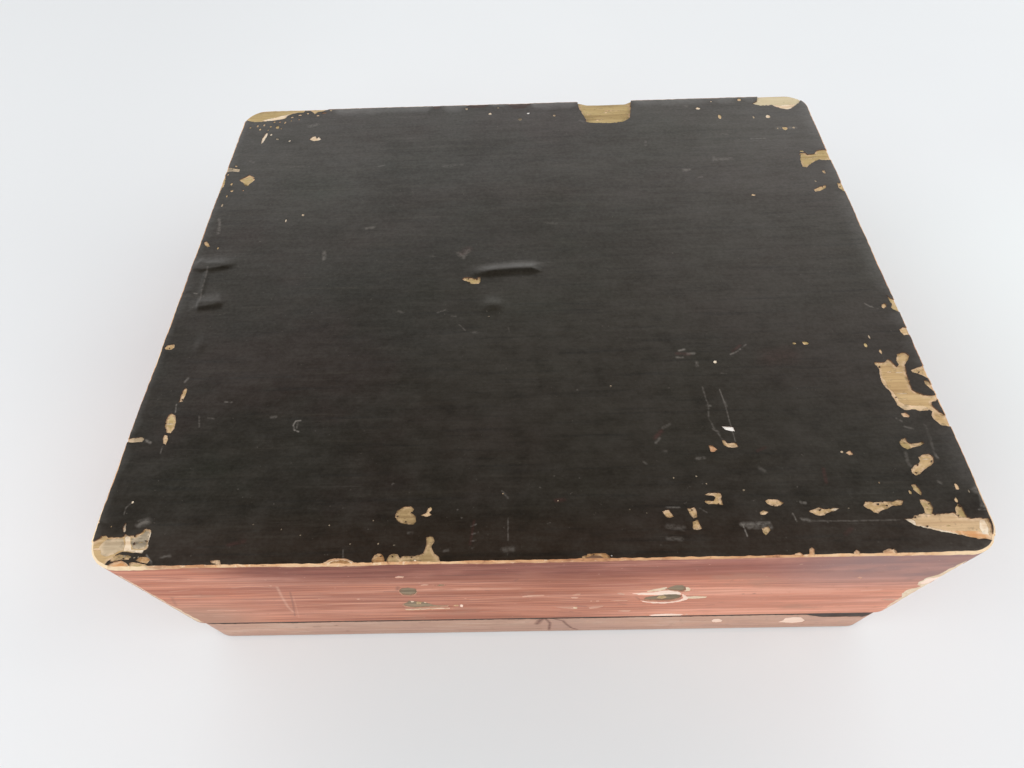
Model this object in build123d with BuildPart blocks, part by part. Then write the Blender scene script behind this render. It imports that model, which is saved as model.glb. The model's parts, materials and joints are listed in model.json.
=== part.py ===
from build123d import *
import math
import os

os.makedirs("parts", exist_ok=True)

# ---------------------------------------------------------------- driving dimensions, mm
case_w = 280.0          # lid width, left to right
case_d = 235.0          # lid depth, front to back
case_h = 95.0           # overall height
seam_z = 26.0           # top of the base rails
seam_gap = 0.4          # daylight between base and lid
base_inset = 1.0        # base stands in from the lid on every side
board_t = 10.0          # side boards and rails
panel_t = 8.0           # top panel
corner_r = 10.0         # rounded upright corners
floor_t = 6.0           # base board
rebate = 5.0            # rebate that takes the base board

hinge_x = 75.0          # hinge centres, left and right
hinge_len = 40.0
hinge_back = 4.5        # hinge line in from the back face of the lid
leaf_t = 1.2
knuckle_r = 2.5
hinge_pin_r = 1.2
stop_bevel = 49.0       # bevel on each back edge, the two meet as the lid stop

bed_z = 33.0            # underside of the bedplate
bed_t = 3.5
bed_w = 252.0
bed_d = 204.0
motor_z = 8.5           # underside of the lower motor plate
motor_t = 2.0

disc_c = (24.0, 0.0)    # disc centre
disc_r = 88.0
disc_t = 0.7
disc_z = 55.0           # underside of the disc

gear_m = 1.0            # module of the motor wheels
train_m = 0.8           # module of the governor train
great_teeth = 72
spindle_teeth = 24
second_pinion_teeth = 12
second_teeth = 48
third_pinion_teeth = 12
worm_teeth = 20
winding_teeth = 72
winding_pinion_teeth = 36
ratchet_teeth = 18
tooth_thin = 0.2        # taken off each tooth for backlash
worm_r = 2.8            # pitch radius of the worm
worm_z = 47.8

star_count = 24
star_pitch = 2.4
star_x0 = 51.0
star_tip_r = 4.2
star_z = 50.3

run = 0.05              # running clearance of an arbor in its hole

# ---------------------------------------------------------------- derived places
lid_z = seam_z + seam_gap
panel_z = case_h - panel_t
base_w = case_w - 2 * base_inset
base_d = case_d - 2 * base_inset
hinge_y = case_d / 2 - hinge_back
hinge_z = seam_z + seam_gap / 2
bed_top = bed_z + bed_t
motor_top = motor_z + motor_t


def polar(origin, radius, degrees):
    a = math.radians(degrees)
    return (origin[0] + radius * math.cos(a), origin[1] + radius * math.sin(a))


barrel_dir = 200.0      # disc centre to barrel
second_dir = 150.0      # barrel to second arbor
third_dir = 120.0       # second arbor to third arbor
barrel_c = polar(disc_c, gear_m * (great_teeth + spindle_teeth) / 2, barrel_dir)
winding_c = polar(barrel_c, gear_m * (winding_teeth + winding_pinion_teeth) / 2, barrel_dir)
second_c = polar(barrel_c, gear_m * (great_teeth + second_pinion_teeth) / 2, second_dir)
third_c = polar(second_c, train_m * (second_teeth + third_pinion_teeth) / 2, third_dir)
worm_x = third_c[0] - train_m * worm_teeth / 2 - worm_r
worm_pitch = math.pi * train_m
click_c = (winding_c[0] - 13.0, winding_c[1] - 21.0)
stop_c = (-104.0, 55.0)
press_c = (118.0, 0.0)
bridge_foot_a = polar(second_c, 24.5, -60.0)
bridge_foot_b = polar(third_c, 14.0, 90.0)
pillar_at = [(-93.0, 20.0), (38.0, 20.0), (38.0, -60.0), (-40.0, -60.0)]
wood_screw_at = [(-122.0, -55.0), (-122.0, 55.0), (122.0, -55.0), (122.0, 55.0),
                 (-60.0, -99.0), (60.0, -99.0), (-60.0, 99.0), (60.0, 99.0)]

LOW = (Align.CENTER, Align.CENTER, Align.MIN)
ALONG_X = (0, 90, 0)
ALONG_Y = (-90, 0, 0)


# ---------------------------------------------------------------- outlines
def gear_outline(centre, teeth, module, phase, thin=tooth_thin, add=0.85, ded=1.15):
    """Straight-segment involute teeth, one tooth centred on the phase angle."""
    pressure = math.radians(20)
    r = module * teeth / 2
    rb = r * math.cos(pressure)
    ra = r + add * module
    rf = r - ded * module
    half = math.pi / (2 * teeth) - thin / (2 * r)

    def inv(a):
        return math.tan(a) - a

    def half_angle(rho):
        rho = max(rho, rb)
        return half + inv(pressure) - inv(math.acos(rb / rho))

    radii = [rf, r, ra] if rf >= rb else [rf, rb, r, ra]
    points = []
    for k in range(teeth):
        mid = math.radians(phase) + 2 * math.pi * k / teeth
        flank = [(rho, half_angle(rho)) for rho in radii]
        for rho, a in flank:
            points.append((centre[0] + rho * math.cos(mid - a), centre[1] + rho * math.sin(mid - a)))
        for rho, a in reversed(flank):
            points.append((centre[0] + rho * math.cos(mid + a), centre[1] + rho * math.sin(mid + a)))
    return points


def mesh_phase(phase_a, teeth_a, direction, teeth_b):
    """Phase of wheel b so that it meshes with wheel a, b lying in the given direction."""
    ahead = (direction - phase_a) / (360.0 / teeth_a)
    return direction + 180.0 + (ahead + 0.5) * 360.0 / teeth_b


def bar_outline(p, q, width):
    dx, dy = q[0] - p[0], q[1] - p[1]
    n = math.hypot(dx, dy)
    ox, oy = -dy / n * width / 2, dx / n * width / 2
    return [(p[0] + ox, p[1] + oy), (q[0] + ox, q[1] + oy),
            (q[0] - ox, q[1] - oy), (p[0] - ox, p[1] - oy)]


def wedge(side, inner_w, inner_d):
    """Mitre wedge that cuts one side out of a ring."""
    x, y, e = inner_w / 2, inner_d / 2, 60.0
    return {
        "front": [(-x - e, -y - e), (x + e, -y - e), (x, -y), (-x, -y)],
        "back": [(-x, y), (x, y), (x + e, y + e), (-x - e, y + e)],
        "left": [(-x - e, -y - e), (-x, -y), (-x, y), (-x - e, y + e)],
        "right": [(x, -y), (x + e, -y - e), (x + e, y + e), (x, y)],
    }[side]


def ring_side(side, z, height, outer_w, outer_d, radius, inner_w, inner_d):
    with BuildSketch(Plane.XY.offset(z)) as profile:
        RectangleRounded(outer_w, outer_d, radius)
        Rectangle(inner_w, inner_d, mode=Mode.SUBTRACT)
        Polygon(*wedge(side, inner_w, inner_d), align=None, mode=Mode.INTERSECT)
    extrude(profile.sketch, amount=height)


def back_bevel(sign):
    """Slope through the hinge line, above it for the lid and below it for the base."""
    reach = 8.0
    with BuildSketch(Plane.YZ) as slope:
        Polygon((hinge_y, hinge_z), (hinge_y + reach, hinge_z),
                (hinge_y + reach, hinge_z + sign * reach * math.tan(math.radians(stop_bevel))),
                align=None)
    extrude(slope.sketch, amount=case_w, both=True, mode=Mode.SUBTRACT)


def outer_edges(part, z, half_w, half_d):
    found = []
    for e in part.edges():
        c = e.center()
        b = e.bounding_box()
        if abs(b.min.Z - z) < 1e-4 and abs(b.max.Z - z) < 1e-4:
            if e.geom_type == GeomType.CIRCLE and abs(c.X) > half_w - 8 and abs(c.Y) > half_d - 8:
                found.append(e)
            elif abs(abs(c.X) - half_w) < 1e-3 or abs(abs(c.Y) - half_d) < 1e-3:
                found.append(e)
    return ShapeList(found)


def slotted_screws(places, z_head, head_r, head_h, shank_r, shank_len):
    with Locations(*[(x, y, z_head) for x, y in places]):
        Cylinder(head_r, head_h, align=LOW)
    with Locations(*[(x, y, z_head - shank_len) for x, y in places]):
        Cylinder(shank_r, shank_len, align=LOW)
    with Locations(*[(x, y, z_head + head_h) for x, y in places]):
        Box(3 * head_r, 0.24 * head_r, 0.8 * head_h, mode=Mode.SUBTRACT)


def save(builder, node):
    builder.part.label = node
    export_step(builder.part, "parts/" + node + ".step")


# ---------------------------------------------------------------- base
base_in_w = base_w - 2 * board_t
base_in_d = base_d - 2 * board_t
base_r = corner_r - base_inset
rebate_w = base_w - 2 * rebate
rebate_d = base_d - 2 * rebate

with BuildPart() as base_board:
    with BuildSketch():
        Rectangle(rebate_w - 0.2, rebate_d - 0.2)
    extrude(amount=floor_t)
save(base_board, "base_board")

hinge_places = [-hinge_x, hinge_x]
base_screw_z = 18.0
lid_screw_z = 34.0

with BuildPart() as base_front_rail:
    ring_side("front", floor_t, seam_z - floor_t, base_w, base_d, base_r, base_in_w, base_in_d)
    ring_side("front", 0, floor_t, base_w, base_d, base_r, rebate_w, rebate_d)
    chamfer(outer_edges(base_front_rail.part, seam_z, base_w / 2, base_d / 2), 0.5)
    chamfer(outer_edges(base_front_rail.part, 0, base_w / 2, base_d / 2), 0.6)
save(base_front_rail, "base_front_rail")

with BuildPart() as base_back_rail:
    ring_side("back", floor_t, seam_z - floor_t, base_w, base_d, base_r, base_in_w, base_in_d)
    ring_side("back", 0, floor_t, base_w, base_d, base_r, rebate_w, rebate_d)
    chamfer(outer_edges(base_back_rail.part, 0, base_w / 2, base_d / 2), 0.6)
    back_bevel(-1)
    with Locations(*[(x, hinge_y, hinge_z) for x in hinge_places]):
        Cylinder(knuckle_r + 0.4, hinge_len + 1.0, rotation=ALONG_X, mode=Mode.SUBTRACT)
    with Locations(*[(x, (base_in_d / 2 + hinge_y) / 2, seam_z - leaf_t / 2) for x in hinge_places]):
        Box(hinge_len + 0.2, hinge_y - base_in_d / 2, leaf_t, mode=Mode.SUBTRACT)
    with Locations(*[(x + s, base_in_d / 2, base_screw_z) for x in hinge_places for s in (-12, 12)]):
        Cylinder(1.2, 6.5, rotation=ALONG_Y, align=LOW, mode=Mode.SUBTRACT)
save(base_back_rail, "base_back_rail")

with BuildPart() as base_left_rail:
    ring_side("left", floor_t, seam_z - floor_t, base_w, base_d, base_r, base_in_w, base_in_d)
    ring_side("left", 0, floor_t, base_w, base_d, base_r, rebate_w, rebate_d)
    chamfer(outer_edges(base_left_rail.part, seam_z, base_w / 2, base_d / 2), 0.5)
    chamfer(outer_edges(base_left_rail.part, 0, base_w / 2, base_d / 2), 0.6)
    back_bevel(-1)
save(base_left_rail, "base_left_rail")

with BuildPart() as base_right_rail:
    ring_side("right", floor_t, seam_z - floor_t, base_w, base_d, base_r, base_in_w, base_in_d)
    ring_side("right", 0, floor_t, base_w, base_d, base_r, rebate_w, rebate_d)
    chamfer(outer_edges(base_right_rail.part, seam_z, base_w / 2, base_d / 2), 0.5)
    chamfer(outer_edges(base_right_rail.part, 0, base_w / 2, base_d / 2), 0.6)
    back_bevel(-1)
save(base_right_rail, "base_right_rail")

bearer_x = 118.0        # inner face of the side bearers
bearer_front_y = -96.0
bearer_back_y = 95.5
bearer_back_end = 105.0
bearer_h = bed_z - floor_t


def screw_pilots():
    with Locations(*[(x, y, bed_z - 9.0) for x, y in wood_screw_at]):
        Cylinder(1.4, 12.0, align=LOW, mode=Mode.SUBTRACT)


with BuildPart() as bearer_left:
    with BuildSketch(Plane.XY.offset(floor_t)):
        with Locations(((-base_in_w / 2 - bearer_x) / 2, (bearer_back_end - base_in_d / 2) / 2)):
            Rectangle(base_in_w / 2 - bearer_x, bearer_back_end + base_in_d / 2)
    extrude(amount=bearer_h)
    screw_pilots()
save(bearer_left, "bearer_left")

with BuildPart() as bearer_right:
    with BuildSketch(Plane.XY.offset(floor_t)):
        with Locations(((base_in_w / 2 + bearer_x) / 2, (bearer_back_end - base_in_d / 2) / 2)):
            Rectangle(base_in_w / 2 - bearer_x, bearer_back_end + base_in_d / 2)
    extrude(amount=bearer_h)
    screw_pilots()
save(bearer_right, "bearer_right")

with BuildPart() as bearer_front:
    with BuildSketch(Plane.XY.offset(floor_t)):
        with Locations((0, (-base_in_d / 2 + bearer_front_y) / 2)):
            Rectangle(2 * bearer_x, base_in_d / 2 + bearer_front_y)
    extrude(amount=bearer_h)
    screw_pilots()
save(bearer_front, "bearer_front")

with BuildPart() as bearer_back:
    with BuildSketch(Plane.XY.offset(floor_t)):
        with Locations((0, (bearer_back_y + bearer_back_end) / 2)):
            Rectangle(2 * bearer_x, bearer_back_end - bearer_back_y)
    extrude(amount=bearer_h)
    screw_pilots()
save(bearer_back, "bearer_back")

# ---------------------------------------------------------------- lid
lid_in_w = case_w - 2 * board_t
lid_in_d = case_d - 2 * board_t
lid_side_h = panel_z - lid_z

with BuildPart() as lid_panel:
    with BuildSketch(Plane.XY.offset(panel_z)):
        RectangleRounded(case_w, case_d, corner_r)
    extrude(amount=panel_t)
    fillet(lid_panel.edges().group_by(Axis.Z)[-1], 0.8)
save(lid_panel, "lid_panel")

with BuildPart() as lid_front_board:
    ring_side("front", lid_z, lid_side_h, case_w, case_d, corner_r, lid_in_w, lid_in_d)
    chamfer(outer_edges(lid_front_board.part, lid_z, case_w / 2, case_d / 2), 0.5)
save(lid_front_board, "lid_front_board")

with BuildPart() as lid_back_board:
    ring_side("back", lid_z, lid_side_h, case_w, case_d, corner_r, lid_in_w, lid_in_d)
    back_bevel(1)
    with Locations(*[(x, hinge_y, hinge_z) for x in hinge_places]):
        Cylinder(knuckle_r + 0.4, hinge_len + 1.0, rotation=ALONG_X, mode=Mode.SUBTRACT)
    with Locations(*[(x, (lid_in_d / 2 + hinge_y) / 2, lid_z + leaf_t / 2) for x in hinge_places]):
        Box(hinge_len + 0.2, hinge_y - lid_in_d / 2, leaf_t, mode=Mode.SUBTRACT)
    with Locations(*[(x + s, lid_in_d / 2, lid_screw_z) for x in hinge_places for s in (-12, 12)]):
        Cylinder(1.2, 6.5, rotation=ALONG_Y, align=LOW, mode=Mode.SUBTRACT)
save(lid_back_board, "lid_back_board")

with BuildPart() as lid_left_board:
    ring_side("left", lid_z, lid_side_h, case_w, case_d, corner_r, lid_in_w, lid_in_d)
    chamfer(outer_edges(lid_left_board.part, lid_z, case_w / 2, case_d / 2), 0.5)
    back_bevel(1)
save(lid_left_board, "lid_left_board")

with BuildPart() as lid_right_board:
    ring_side("right", lid_z, lid_side_h, case_w, case_d, corner_r, lid_in_w, lid_in_d)
    chamfer(outer_edges(lid_right_board.part, lid_z, case_w / 2, case_d / 2), 0.5)
    back_bevel(1)
save(lid_right_board, "lid_right_board")

# ---------------------------------------------------------------- hinges
knuckle_mid = 6.5       # half length of the lid knuckle
knuckle_gap = 0.3
outer_mid = (knuckle_mid + knuckle_gap + hinge_len / 2) / 2
outer_len = hinge_len / 2 - knuckle_mid - knuckle_gap
flap_h = 13.0

with BuildPart() as hinge_base_leaves:
    y0 = base_in_d / 2 - leaf_t
    with Locations(*[(x, (y0 + hinge_y) / 2, seam_z - leaf_t / 2) for x in hinge_places]):
        Box(hinge_len, hinge_y - y0, leaf_t)
    with Locations(*[(x, y0 + leaf_t / 2, seam_z - flap_h / 2) for x in hinge_places]):
        Box(hinge_len, leaf_t, flap_h)
    with Locations(*[(x, hinge_y, hinge_z) for x in hinge_places]):
        Cylinder(knuckle_r + 0.3, 2 * (knuckle_mid + knuckle_gap), rotation=ALONG_X, mode=Mode.SUBTRACT)
    with Locations(*[(x + s * outer_mid, hinge_y, hinge_z) for x in hinge_places for s in (-1, 1)]):
        Cylinder(knuckle_r, outer_len, rotation=ALONG_X)
    with Locations(*[(x, hinge_y, hinge_z) for x in hinge_places]):
        Cylinder(hinge_pin_r, hinge_len + 2, rotation=ALONG_X, mode=Mode.SUBTRACT)
    with Locations(*[(x + s, y0, base_screw_z) for x in hinge_places for s in (-12, 12)]):
        Cylinder(2.2, 0.7, rotation=ALONG_Y, align=LOW, mode=Mode.SUBTRACT)
        Cylinder(1.2, 3.0, rotation=ALONG_Y, align=LOW, mode=Mode.SUBTRACT)
save(hinge_base_leaves, "hinge_base_leaves")

with BuildPart() as hinge_lid_leaves:
    y0 = lid_in_d / 2 - leaf_t
    with Locations(*[(x, (y0 + hinge_y) / 2, lid_z + leaf_t / 2) for x in hinge_places]):
        Box(hinge_len, hinge_y - y0, leaf_t)
    with Locations(*[(x, y0 + leaf_t / 2, lid_z + flap_h / 2) for x in hinge_places]):
        Box(hinge_len, leaf_t, flap_h)
    with Locations(*[(x + s * (outer_mid + 0.25), hinge_y, hinge_z) for x in hinge_places for s in (-1, 1)]):
        Cylinder(knuckle_r + 0.3, outer_len + 1.1, rotation=ALONG_X, mode=Mode.SUBTRACT)
    with Locations(*[(x, hinge_y, hinge_z) for x in hinge_places]):
        Cylinder(knuckle_r, 2 * knuckle_mid, rotation=ALONG_X)
    with Locations(*[(x, hinge_y, hinge_z) for x in hinge_places]):
        Cylinder(hinge_pin_r + run, hinge_len + 2, rotation=ALONG_X, mode=Mode.SUBTRACT)
    with Locations(*[(x + s, y0, lid_screw_z) for x in hinge_places for s in (-12, 12)]):
        Cylinder(2.2, 0.7, rotation=ALONG_Y, align=LOW, mode=Mode.SUBTRACT)
        Cylinder(1.2, 3.0, rotation=ALONG_Y, align=LOW, mode=Mode.SUBTRACT)
save(hinge_lid_leaves, "hinge_lid_leaves")

with BuildPart() as hinge_pins:
    with Locations(*[(x, hinge_y, hinge_z) for x in hinge_places]):
        Cylinder(hinge_pin_r, hinge_len, rotation=ALONG_X)
save(hinge_pins, "hinge_pins")

with BuildPart() as hinge_base_screws:
    with Locations(*[(x + s, base_in_d / 2 - leaf_t, base_screw_z) for x in hinge_places for s in (-12, 12)]):
        Cylinder(2.2, 0.7, rotation=ALONG_Y, align=LOW)
        Cylinder(1.2, leaf_t + 6.0, rotation=ALONG_Y, align=LOW)
    with Locations(*[(x + s, base_in_d / 2 - leaf_t, base_screw_z) for x in hinge_places for s in (-12, 12)]):
        Box(0.6, 0.7, 6.0, mode=Mode.SUBTRACT)
save(hinge_base_screws, "hinge_base_screws")

with BuildPart() as hinge_lid_screws:
    with Locations(*[(x + s, lid_in_d / 2 - leaf_t, lid_screw_z) for x in hinge_places for s in (-12, 12)]):
        Cylinder(2.2, 0.7, rotation=ALONG_Y, align=LOW)
        Cylinder(1.2, leaf_t + 6.0, rotation=ALONG_Y, align=LOW)
    with Locations(*[(x + s, lid_in_d / 2 - leaf_t, lid_screw_z) for x in hinge_places for s in (-12, 12)]):
        Box(0.6, 0.7, 6.0, mode=Mode.SUBTRACT)
save(hinge_lid_screws, "hinge_lid_screws")

# ---------------------------------------------------------------- movement frame
arbor_r = 4.0
bush_r = 7.0
bush_top = 38.0
second_arbor_r = 1.8
comb_screw_x = [56.0, 70.0, 86.0, 101.0]
comb_screw_y = -37.0
post_shank_r = 2.0

with BuildPart() as bedplate:
    with BuildSketch(Plane.XY.offset(bed_z)):
        RectangleRounded(bed_w, bed_d, 8.0)
    extrude(amount=bed_t)
    fillet(bedplate.edges().group_by(Axis.Z)[-1], 1.0)
    with Locations((*disc_c, bed_z), (*winding_c, bed_z)):
        Cylinder(bush_r, bed_t, align=LOW, mode=Mode.SUBTRACT)
    with Locations((*barrel_c, bed_z)):
        Cylinder(2.5 + run, bed_t, align=LOW, mode=Mode.SUBTRACT)
    with Locations((*second_c, bed_z)):
        Cylinder(second_arbor_r + 0.7, bed_t, align=LOW, mode=Mode.SUBTRACT)
    with Locations((*third_c, bed_z)):
        Cylinder(1.0 + run, bed_t, align=LOW, mode=Mode.SUBTRACT)
    with Locations(*[(x, y, bed_z) for x, y in wood_screw_at + pillar_at]):
        Cylinder(1.5, bed_t, align=LOW, mode=Mode.SUBTRACT)
    with Locations(*[(x, comb_screw_y, bed_z) for x in comb_screw_x]):
        Cylinder(1.6, bed_t, align=LOW, mode=Mode.SUBTRACT)
    with Locations((*click_c, bed_z), (*stop_c, bed_z), (*press_c, bed_z)):
        Cylinder(post_shank_r, bed_t, align=LOW, mode=Mode.SUBTRACT)
save(bedplate, "bedplate")

with BuildPart() as bedplate_screws:
    slotted_screws(wood_screw_at + pillar_at, bed_top, 2.5, 1.8, 1.35, 11.5)
save(bedplate_screws, "bedplate_screws")

with BuildPart() as bedplate_bushes:
    with Locations((*disc_c, bed_z), (*winding_c, bed_z)):
        Cylinder(bush_r, bush_top - bed_z, align=LOW)
    with Locations((*disc_c, bed_z), (*winding_c, bed_z)):
        Cylinder(arbor_r + run, bush_top - bed_z, align=LOW, mode=Mode.SUBTRACT)
save(bedplate_bushes, "bedplate_bushes")

with BuildPart() as motor_plate:
    with BuildSketch(Plane.XY.offset(motor_z)):
        with Locations((-27.0, -20.0)):
            RectangleRounded(144.0, 94.0, 6.0)
    extrude(amount=motor_t)
    with Locations((*barrel_c, motor_z), (*winding_c, motor_z)):
        Cylinder(2.5 + run, motor_t, align=LOW, mode=Mode.SUBTRACT)
    with Locations((*disc_c, motor_z)):
        Cylinder(2.0 + run, motor_t, align=LOW, mode=Mode.SUBTRACT)
    with Locations((*second_c, motor_z)):
        Cylinder(1.0 + run, motor_t, align=LOW, mode=Mode.SUBTRACT)
    with Locations(*[(x, y, motor_z) for x, y in pillar_at]):
        Cylinder(2.0, motor_t, align=LOW, mode=Mode.SUBTRACT)
save(motor_plate, "motor_plate")

with BuildPart() as motor_pillars:
    with Locations(*[(x, y, motor_top) for x, y in pillar_at]):
        Cylinder(4.0, bed_z - motor_top, align=LOW)
    with Locations(*[(x, y, motor_z) for x, y in pillar_at]):
        Cylinder(2.0, motor_t, align=LOW)
    with Locations(*[(x, y, bed_z - 9.0) for x, y in pillar_at]):
        Cylinder(1.4, 9.0, align=LOW, mode=Mode.SUBTRACT)
    with Locations(*[(x, y, motor_top + 11.0) for x, y in pillar_at]):
        Torus(4.6, 1.2, mode=Mode.SUBTRACT)
save(motor_pillars, "motor_pillars")

# ---------------------------------------------------------------- spring motor
great_phase = barrel_dir + 180.0
winding_phase = barrel_dir
wind_z, wind_t = 12.0, 2.5
drum_z, drum_top = 15.5, 26.5
drum_r = 31.0
great_t = 2.5

with BuildPart() as spring_barrel:
    with Locations((*barrel_c, drum_z)):
        Cylinder(drum_r, drum_top - drum_z, align=LOW)
    with Locations((*barrel_c, drum_z + 1.2)):
        Cylinder(drum_r - 1.4, drum_top - drum_z, align=LOW, mode=Mode.SUBTRACT)
    with Locations((*barrel_c, drum_z)):
        Cylinder(arbor_r + 0.08, 4.0, align=LOW, mode=Mode.SUBTRACT)
save(spring_barrel, "spring_barrel")

with BuildPart() as great_wheel:
    with BuildSketch(Plane.XY.offset(drum_top)):
        with BuildLine():
            Polyline(*gear_outline(barrel_c, great_teeth, gear_m, great_phase), close=True)
        make_face()
        with Locations(barrel_c):
            Circle(arbor_r + 0.08, mode=Mode.SUBTRACT)
    extrude(amount=great_t)
save(great_wheel, "great_wheel")

spring_turns = 16
spring_r0 = 8.6
spring_step = 2.4
spring_half = 0.35

with BuildPart() as mainspring:
    with BuildSketch(Plane.XY.offset(drum_z + 1.7)):
        with BuildLine():
            sides = []
            for off in (-spring_half, spring_half):
                pts = []
                for k in range(2 * spring_turns):
                    left = k % 2 == 0
                    cx = barrel_c[0] + (0.0 if left else spring_step / 4) - spring_step / 8
                    r = spring_r0 + k * spring_step / 2 / 2 + off
                    sgn = 1 if left else -1
                    pts.append(((cx + sgn * r, barrel_c[1]), (cx, barrel_c[1] + sgn * r),
                                (cx - sgn * r, barrel_c[1])))
                sides.append(pts)
            for pts in sides:
                for a, b, c in pts:
                    ThreePointArc(a, b, c)
            Line(sides[0][0][0], sides[1][0][0])
            Line(sides[0][-1][2], sides[1][-1][2])
        make_face()
    extrude(amount=8.4)
save(mainspring, "mainspring")

with BuildPart() as barrel_arbor:
    with Locations((*barrel_c, motor_z)):
        Cylinder(2.5, motor_t + 0.3, align=LOW)
    with Locations((*barrel_c, motor_top + 0.3)):
        Cylinder(arbor_r, bed_z - 0.3 - motor_top - 0.3, align=LOW)
    with Locations((*barrel_c, drum_z + 1.6)):
        Cylinder(6.2, 8.8, align=LOW)
    with Locations((*barrel_c, bed_z - 0.3)):
        Cylinder(2.5, bed_t + 0.1, align=LOW)
save(barrel_arbor, "barrel_arbor")

with BuildPart() as winding_wheel:
    with BuildSketch(Plane.XY.offset(wind_z)):
        with BuildLine():
            Polyline(*gear_outline(barrel_c, winding_teeth, gear_m, winding_phase), close=True)
        make_face()
        with Locations(barrel_c):
            Circle(arbor_r, mode=Mode.SUBTRACT)
        with Locations(*[polar(barrel_c, 19.0, 45.0 + 90.0 * k) for k in range(4)]):
            Circle(8.0, mode=Mode.SUBTRACT)
    extrude(amount=wind_t)
save(winding_wheel, "winding_wheel")

# ---------------------------------------------------------------- winding
square_w = 5.6
square_z = 43.5
key_hub_z = 44.0
key_hub_top = 63.0
ratchet_z, ratchet_t = 38.5, 2.5
ratchet_r, ratchet_root = 14.0, 11.6

with BuildPart() as winding_arbor:
    with Locations((*winding_c, motor_z)):
        Cylinder(2.5, motor_t + 0.3, align=LOW)
    with Locations((*winding_c, motor_top + 0.3)):
        Cylinder(arbor_r, square_z - motor_top - 0.3, align=LOW)
    with BuildSketch(Plane.XY.offset(wind_z - 0.3)):
        with BuildLine():
            Polyline(*gear_outline(winding_c, winding_pinion_teeth, gear_m,
                                   mesh_phase(winding_phase, winding_teeth, barrel_dir,
                                              winding_pinion_teeth)), close=True)
        make_face()
    extrude(amount=wind_t + 0.6)
    with Locations((*winding_c, square_z)):
        Box(square_w, square_w, 16.0, align=LOW)
save(winding_arbor, "winding_arbor")

with BuildPart() as ratchet_wheel:
    with BuildSketch(Plane.XY.offset(ratchet_z)):
        with BuildLine():
            saw = []
            for k in range(ratchet_teeth):
                a = 360.0 * k / ratchet_teeth + 4.0
                saw.append(polar(winding_c, ratchet_root, a))
                saw.append(polar(winding_c, ratchet_r, a + 360.0 / ratchet_teeth - 1.5))
                saw.append(polar(winding_c, ratchet_r, a + 360.0 / ratchet_teeth))
            Polyline(*saw, close=True)
        make_face()
        with Locations(winding_c):
            Circle(arbor_r, mode=Mode.SUBTRACT)
    extrude(amount=ratchet_t)
save(ratchet_wheel, "ratchet_wheel")

with BuildPart() as winding_key:
    with Locations((*winding_c, key_hub_z)):
        Cylinder(6.5, key_hub_top - key_hub_z, align=LOW)
    chamfer(winding_key.edges().group_by(Axis.Z)[-1], 1.5)
    with BuildSketch(Plane((winding_c[0], winding_c[1], 0), x_dir=(1, 0, 0), z_dir=(0, -1, 0))):
        with Locations((-8.4, 69.0), (8.4, 69.0)):
            Circle(7.6)
        with Locations((0, 63.0)):
            Rectangle(9.0, 7.0)
        with Locations((-8.6, 69.2), (8.6, 69.2)):
            Circle(3.6, mode=Mode.SUBTRACT)
    extrude(amount=1.6, both=True)
    with Locations((*winding_c, key_hub_z)):
        Box(square_w + 0.1, square_w + 0.1, 15.7, align=LOW, mode=Mode.SUBTRACT)
save(winding_key, "winding_key")

click_len = math.sqrt(13.0 ** 2 + 21.0 ** 2 - (ratchet_r + 0.2) ** 2)
click_dir = math.degrees(math.atan2(21.0, 13.0)
                         + math.asin((ratchet_r + 0.2) / math.hypot(13.0, 21.0)))


def click_point(u, v):
    a = math.radians(click_dir)
    return (click_c[0] + u * math.cos(a) - v * math.sin(a), click_c[1] + u * math.sin(a) + v * math.cos(a))


with BuildPart() as click:
    with BuildSketch(Plane.XY.offset(ratchet_z)):
        with BuildLine():
            Polyline(*[click_point(u, v) for u, v in (
                (click_len, 0.0), (click_len, 1.1), (click_len - 7, 3.4), (3.0, 4.2), (-2.0, 3.6),
                (-3.6, 0.0), (-2.0, -3.6), (4.0, -3.4), (click_len - 5.5, -0.1))], close=True)
        make_face()
        with Locations(click_c):
            Circle(4.4)
        with Locations(click_c):
            Circle(post_shank_r + run, mode=Mode.SUBTRACT)
    extrude(amount=ratchet_t)
save(click, "click")

with BuildPart() as click_spring:
    with BuildLine() as coil:
        Helix(0.9, 2.7, 3.0, center=(click_c[0], click_c[1], ratchet_z + ratchet_t + 0.45))
    with BuildSketch(Plane(origin=coil.line @ 0, z_dir=coil.line % 0)):
        Circle(0.35)
    sweep(path=coil.line, is_frenet=True)
save(click_spring, "click_spring")

# ---------------------------------------------------------------- disc drive
spindle_phase = mesh_phase(great_phase, great_teeth, barrel_dir + 180.0, spindle_teeth)
hub_z = 50.0
hub_r = 18.0
neck_r = 3.0

with BuildPart() as disc_spindle:
    with Locations((*disc_c, motor_z)):
        Cylinder(2.0, motor_t + 0.3, align=LOW)
    with Locations((*disc_c, motor_top + 0.3)):
        Cylinder(arbor_r, hub_z - motor_top - 0.3, align=LOW)
    with BuildSketch(Plane.XY.offset(drum_top - 0.5)):
        with BuildLine():
            Polyline(*gear_outline(disc_c, spindle_teeth, gear_m, spindle_phase), close=True)
        make_face()
    extrude(amount=great_t + 1.0)
    with Locations((*disc_c, hub_z)):
        Cylinder(neck_r, 60.0 - hub_z, align=LOW)
    fillet(disc_spindle.edges().group_by(Axis.Z)[-1], 1.4)
save(disc_spindle, "disc_spindle")

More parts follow.
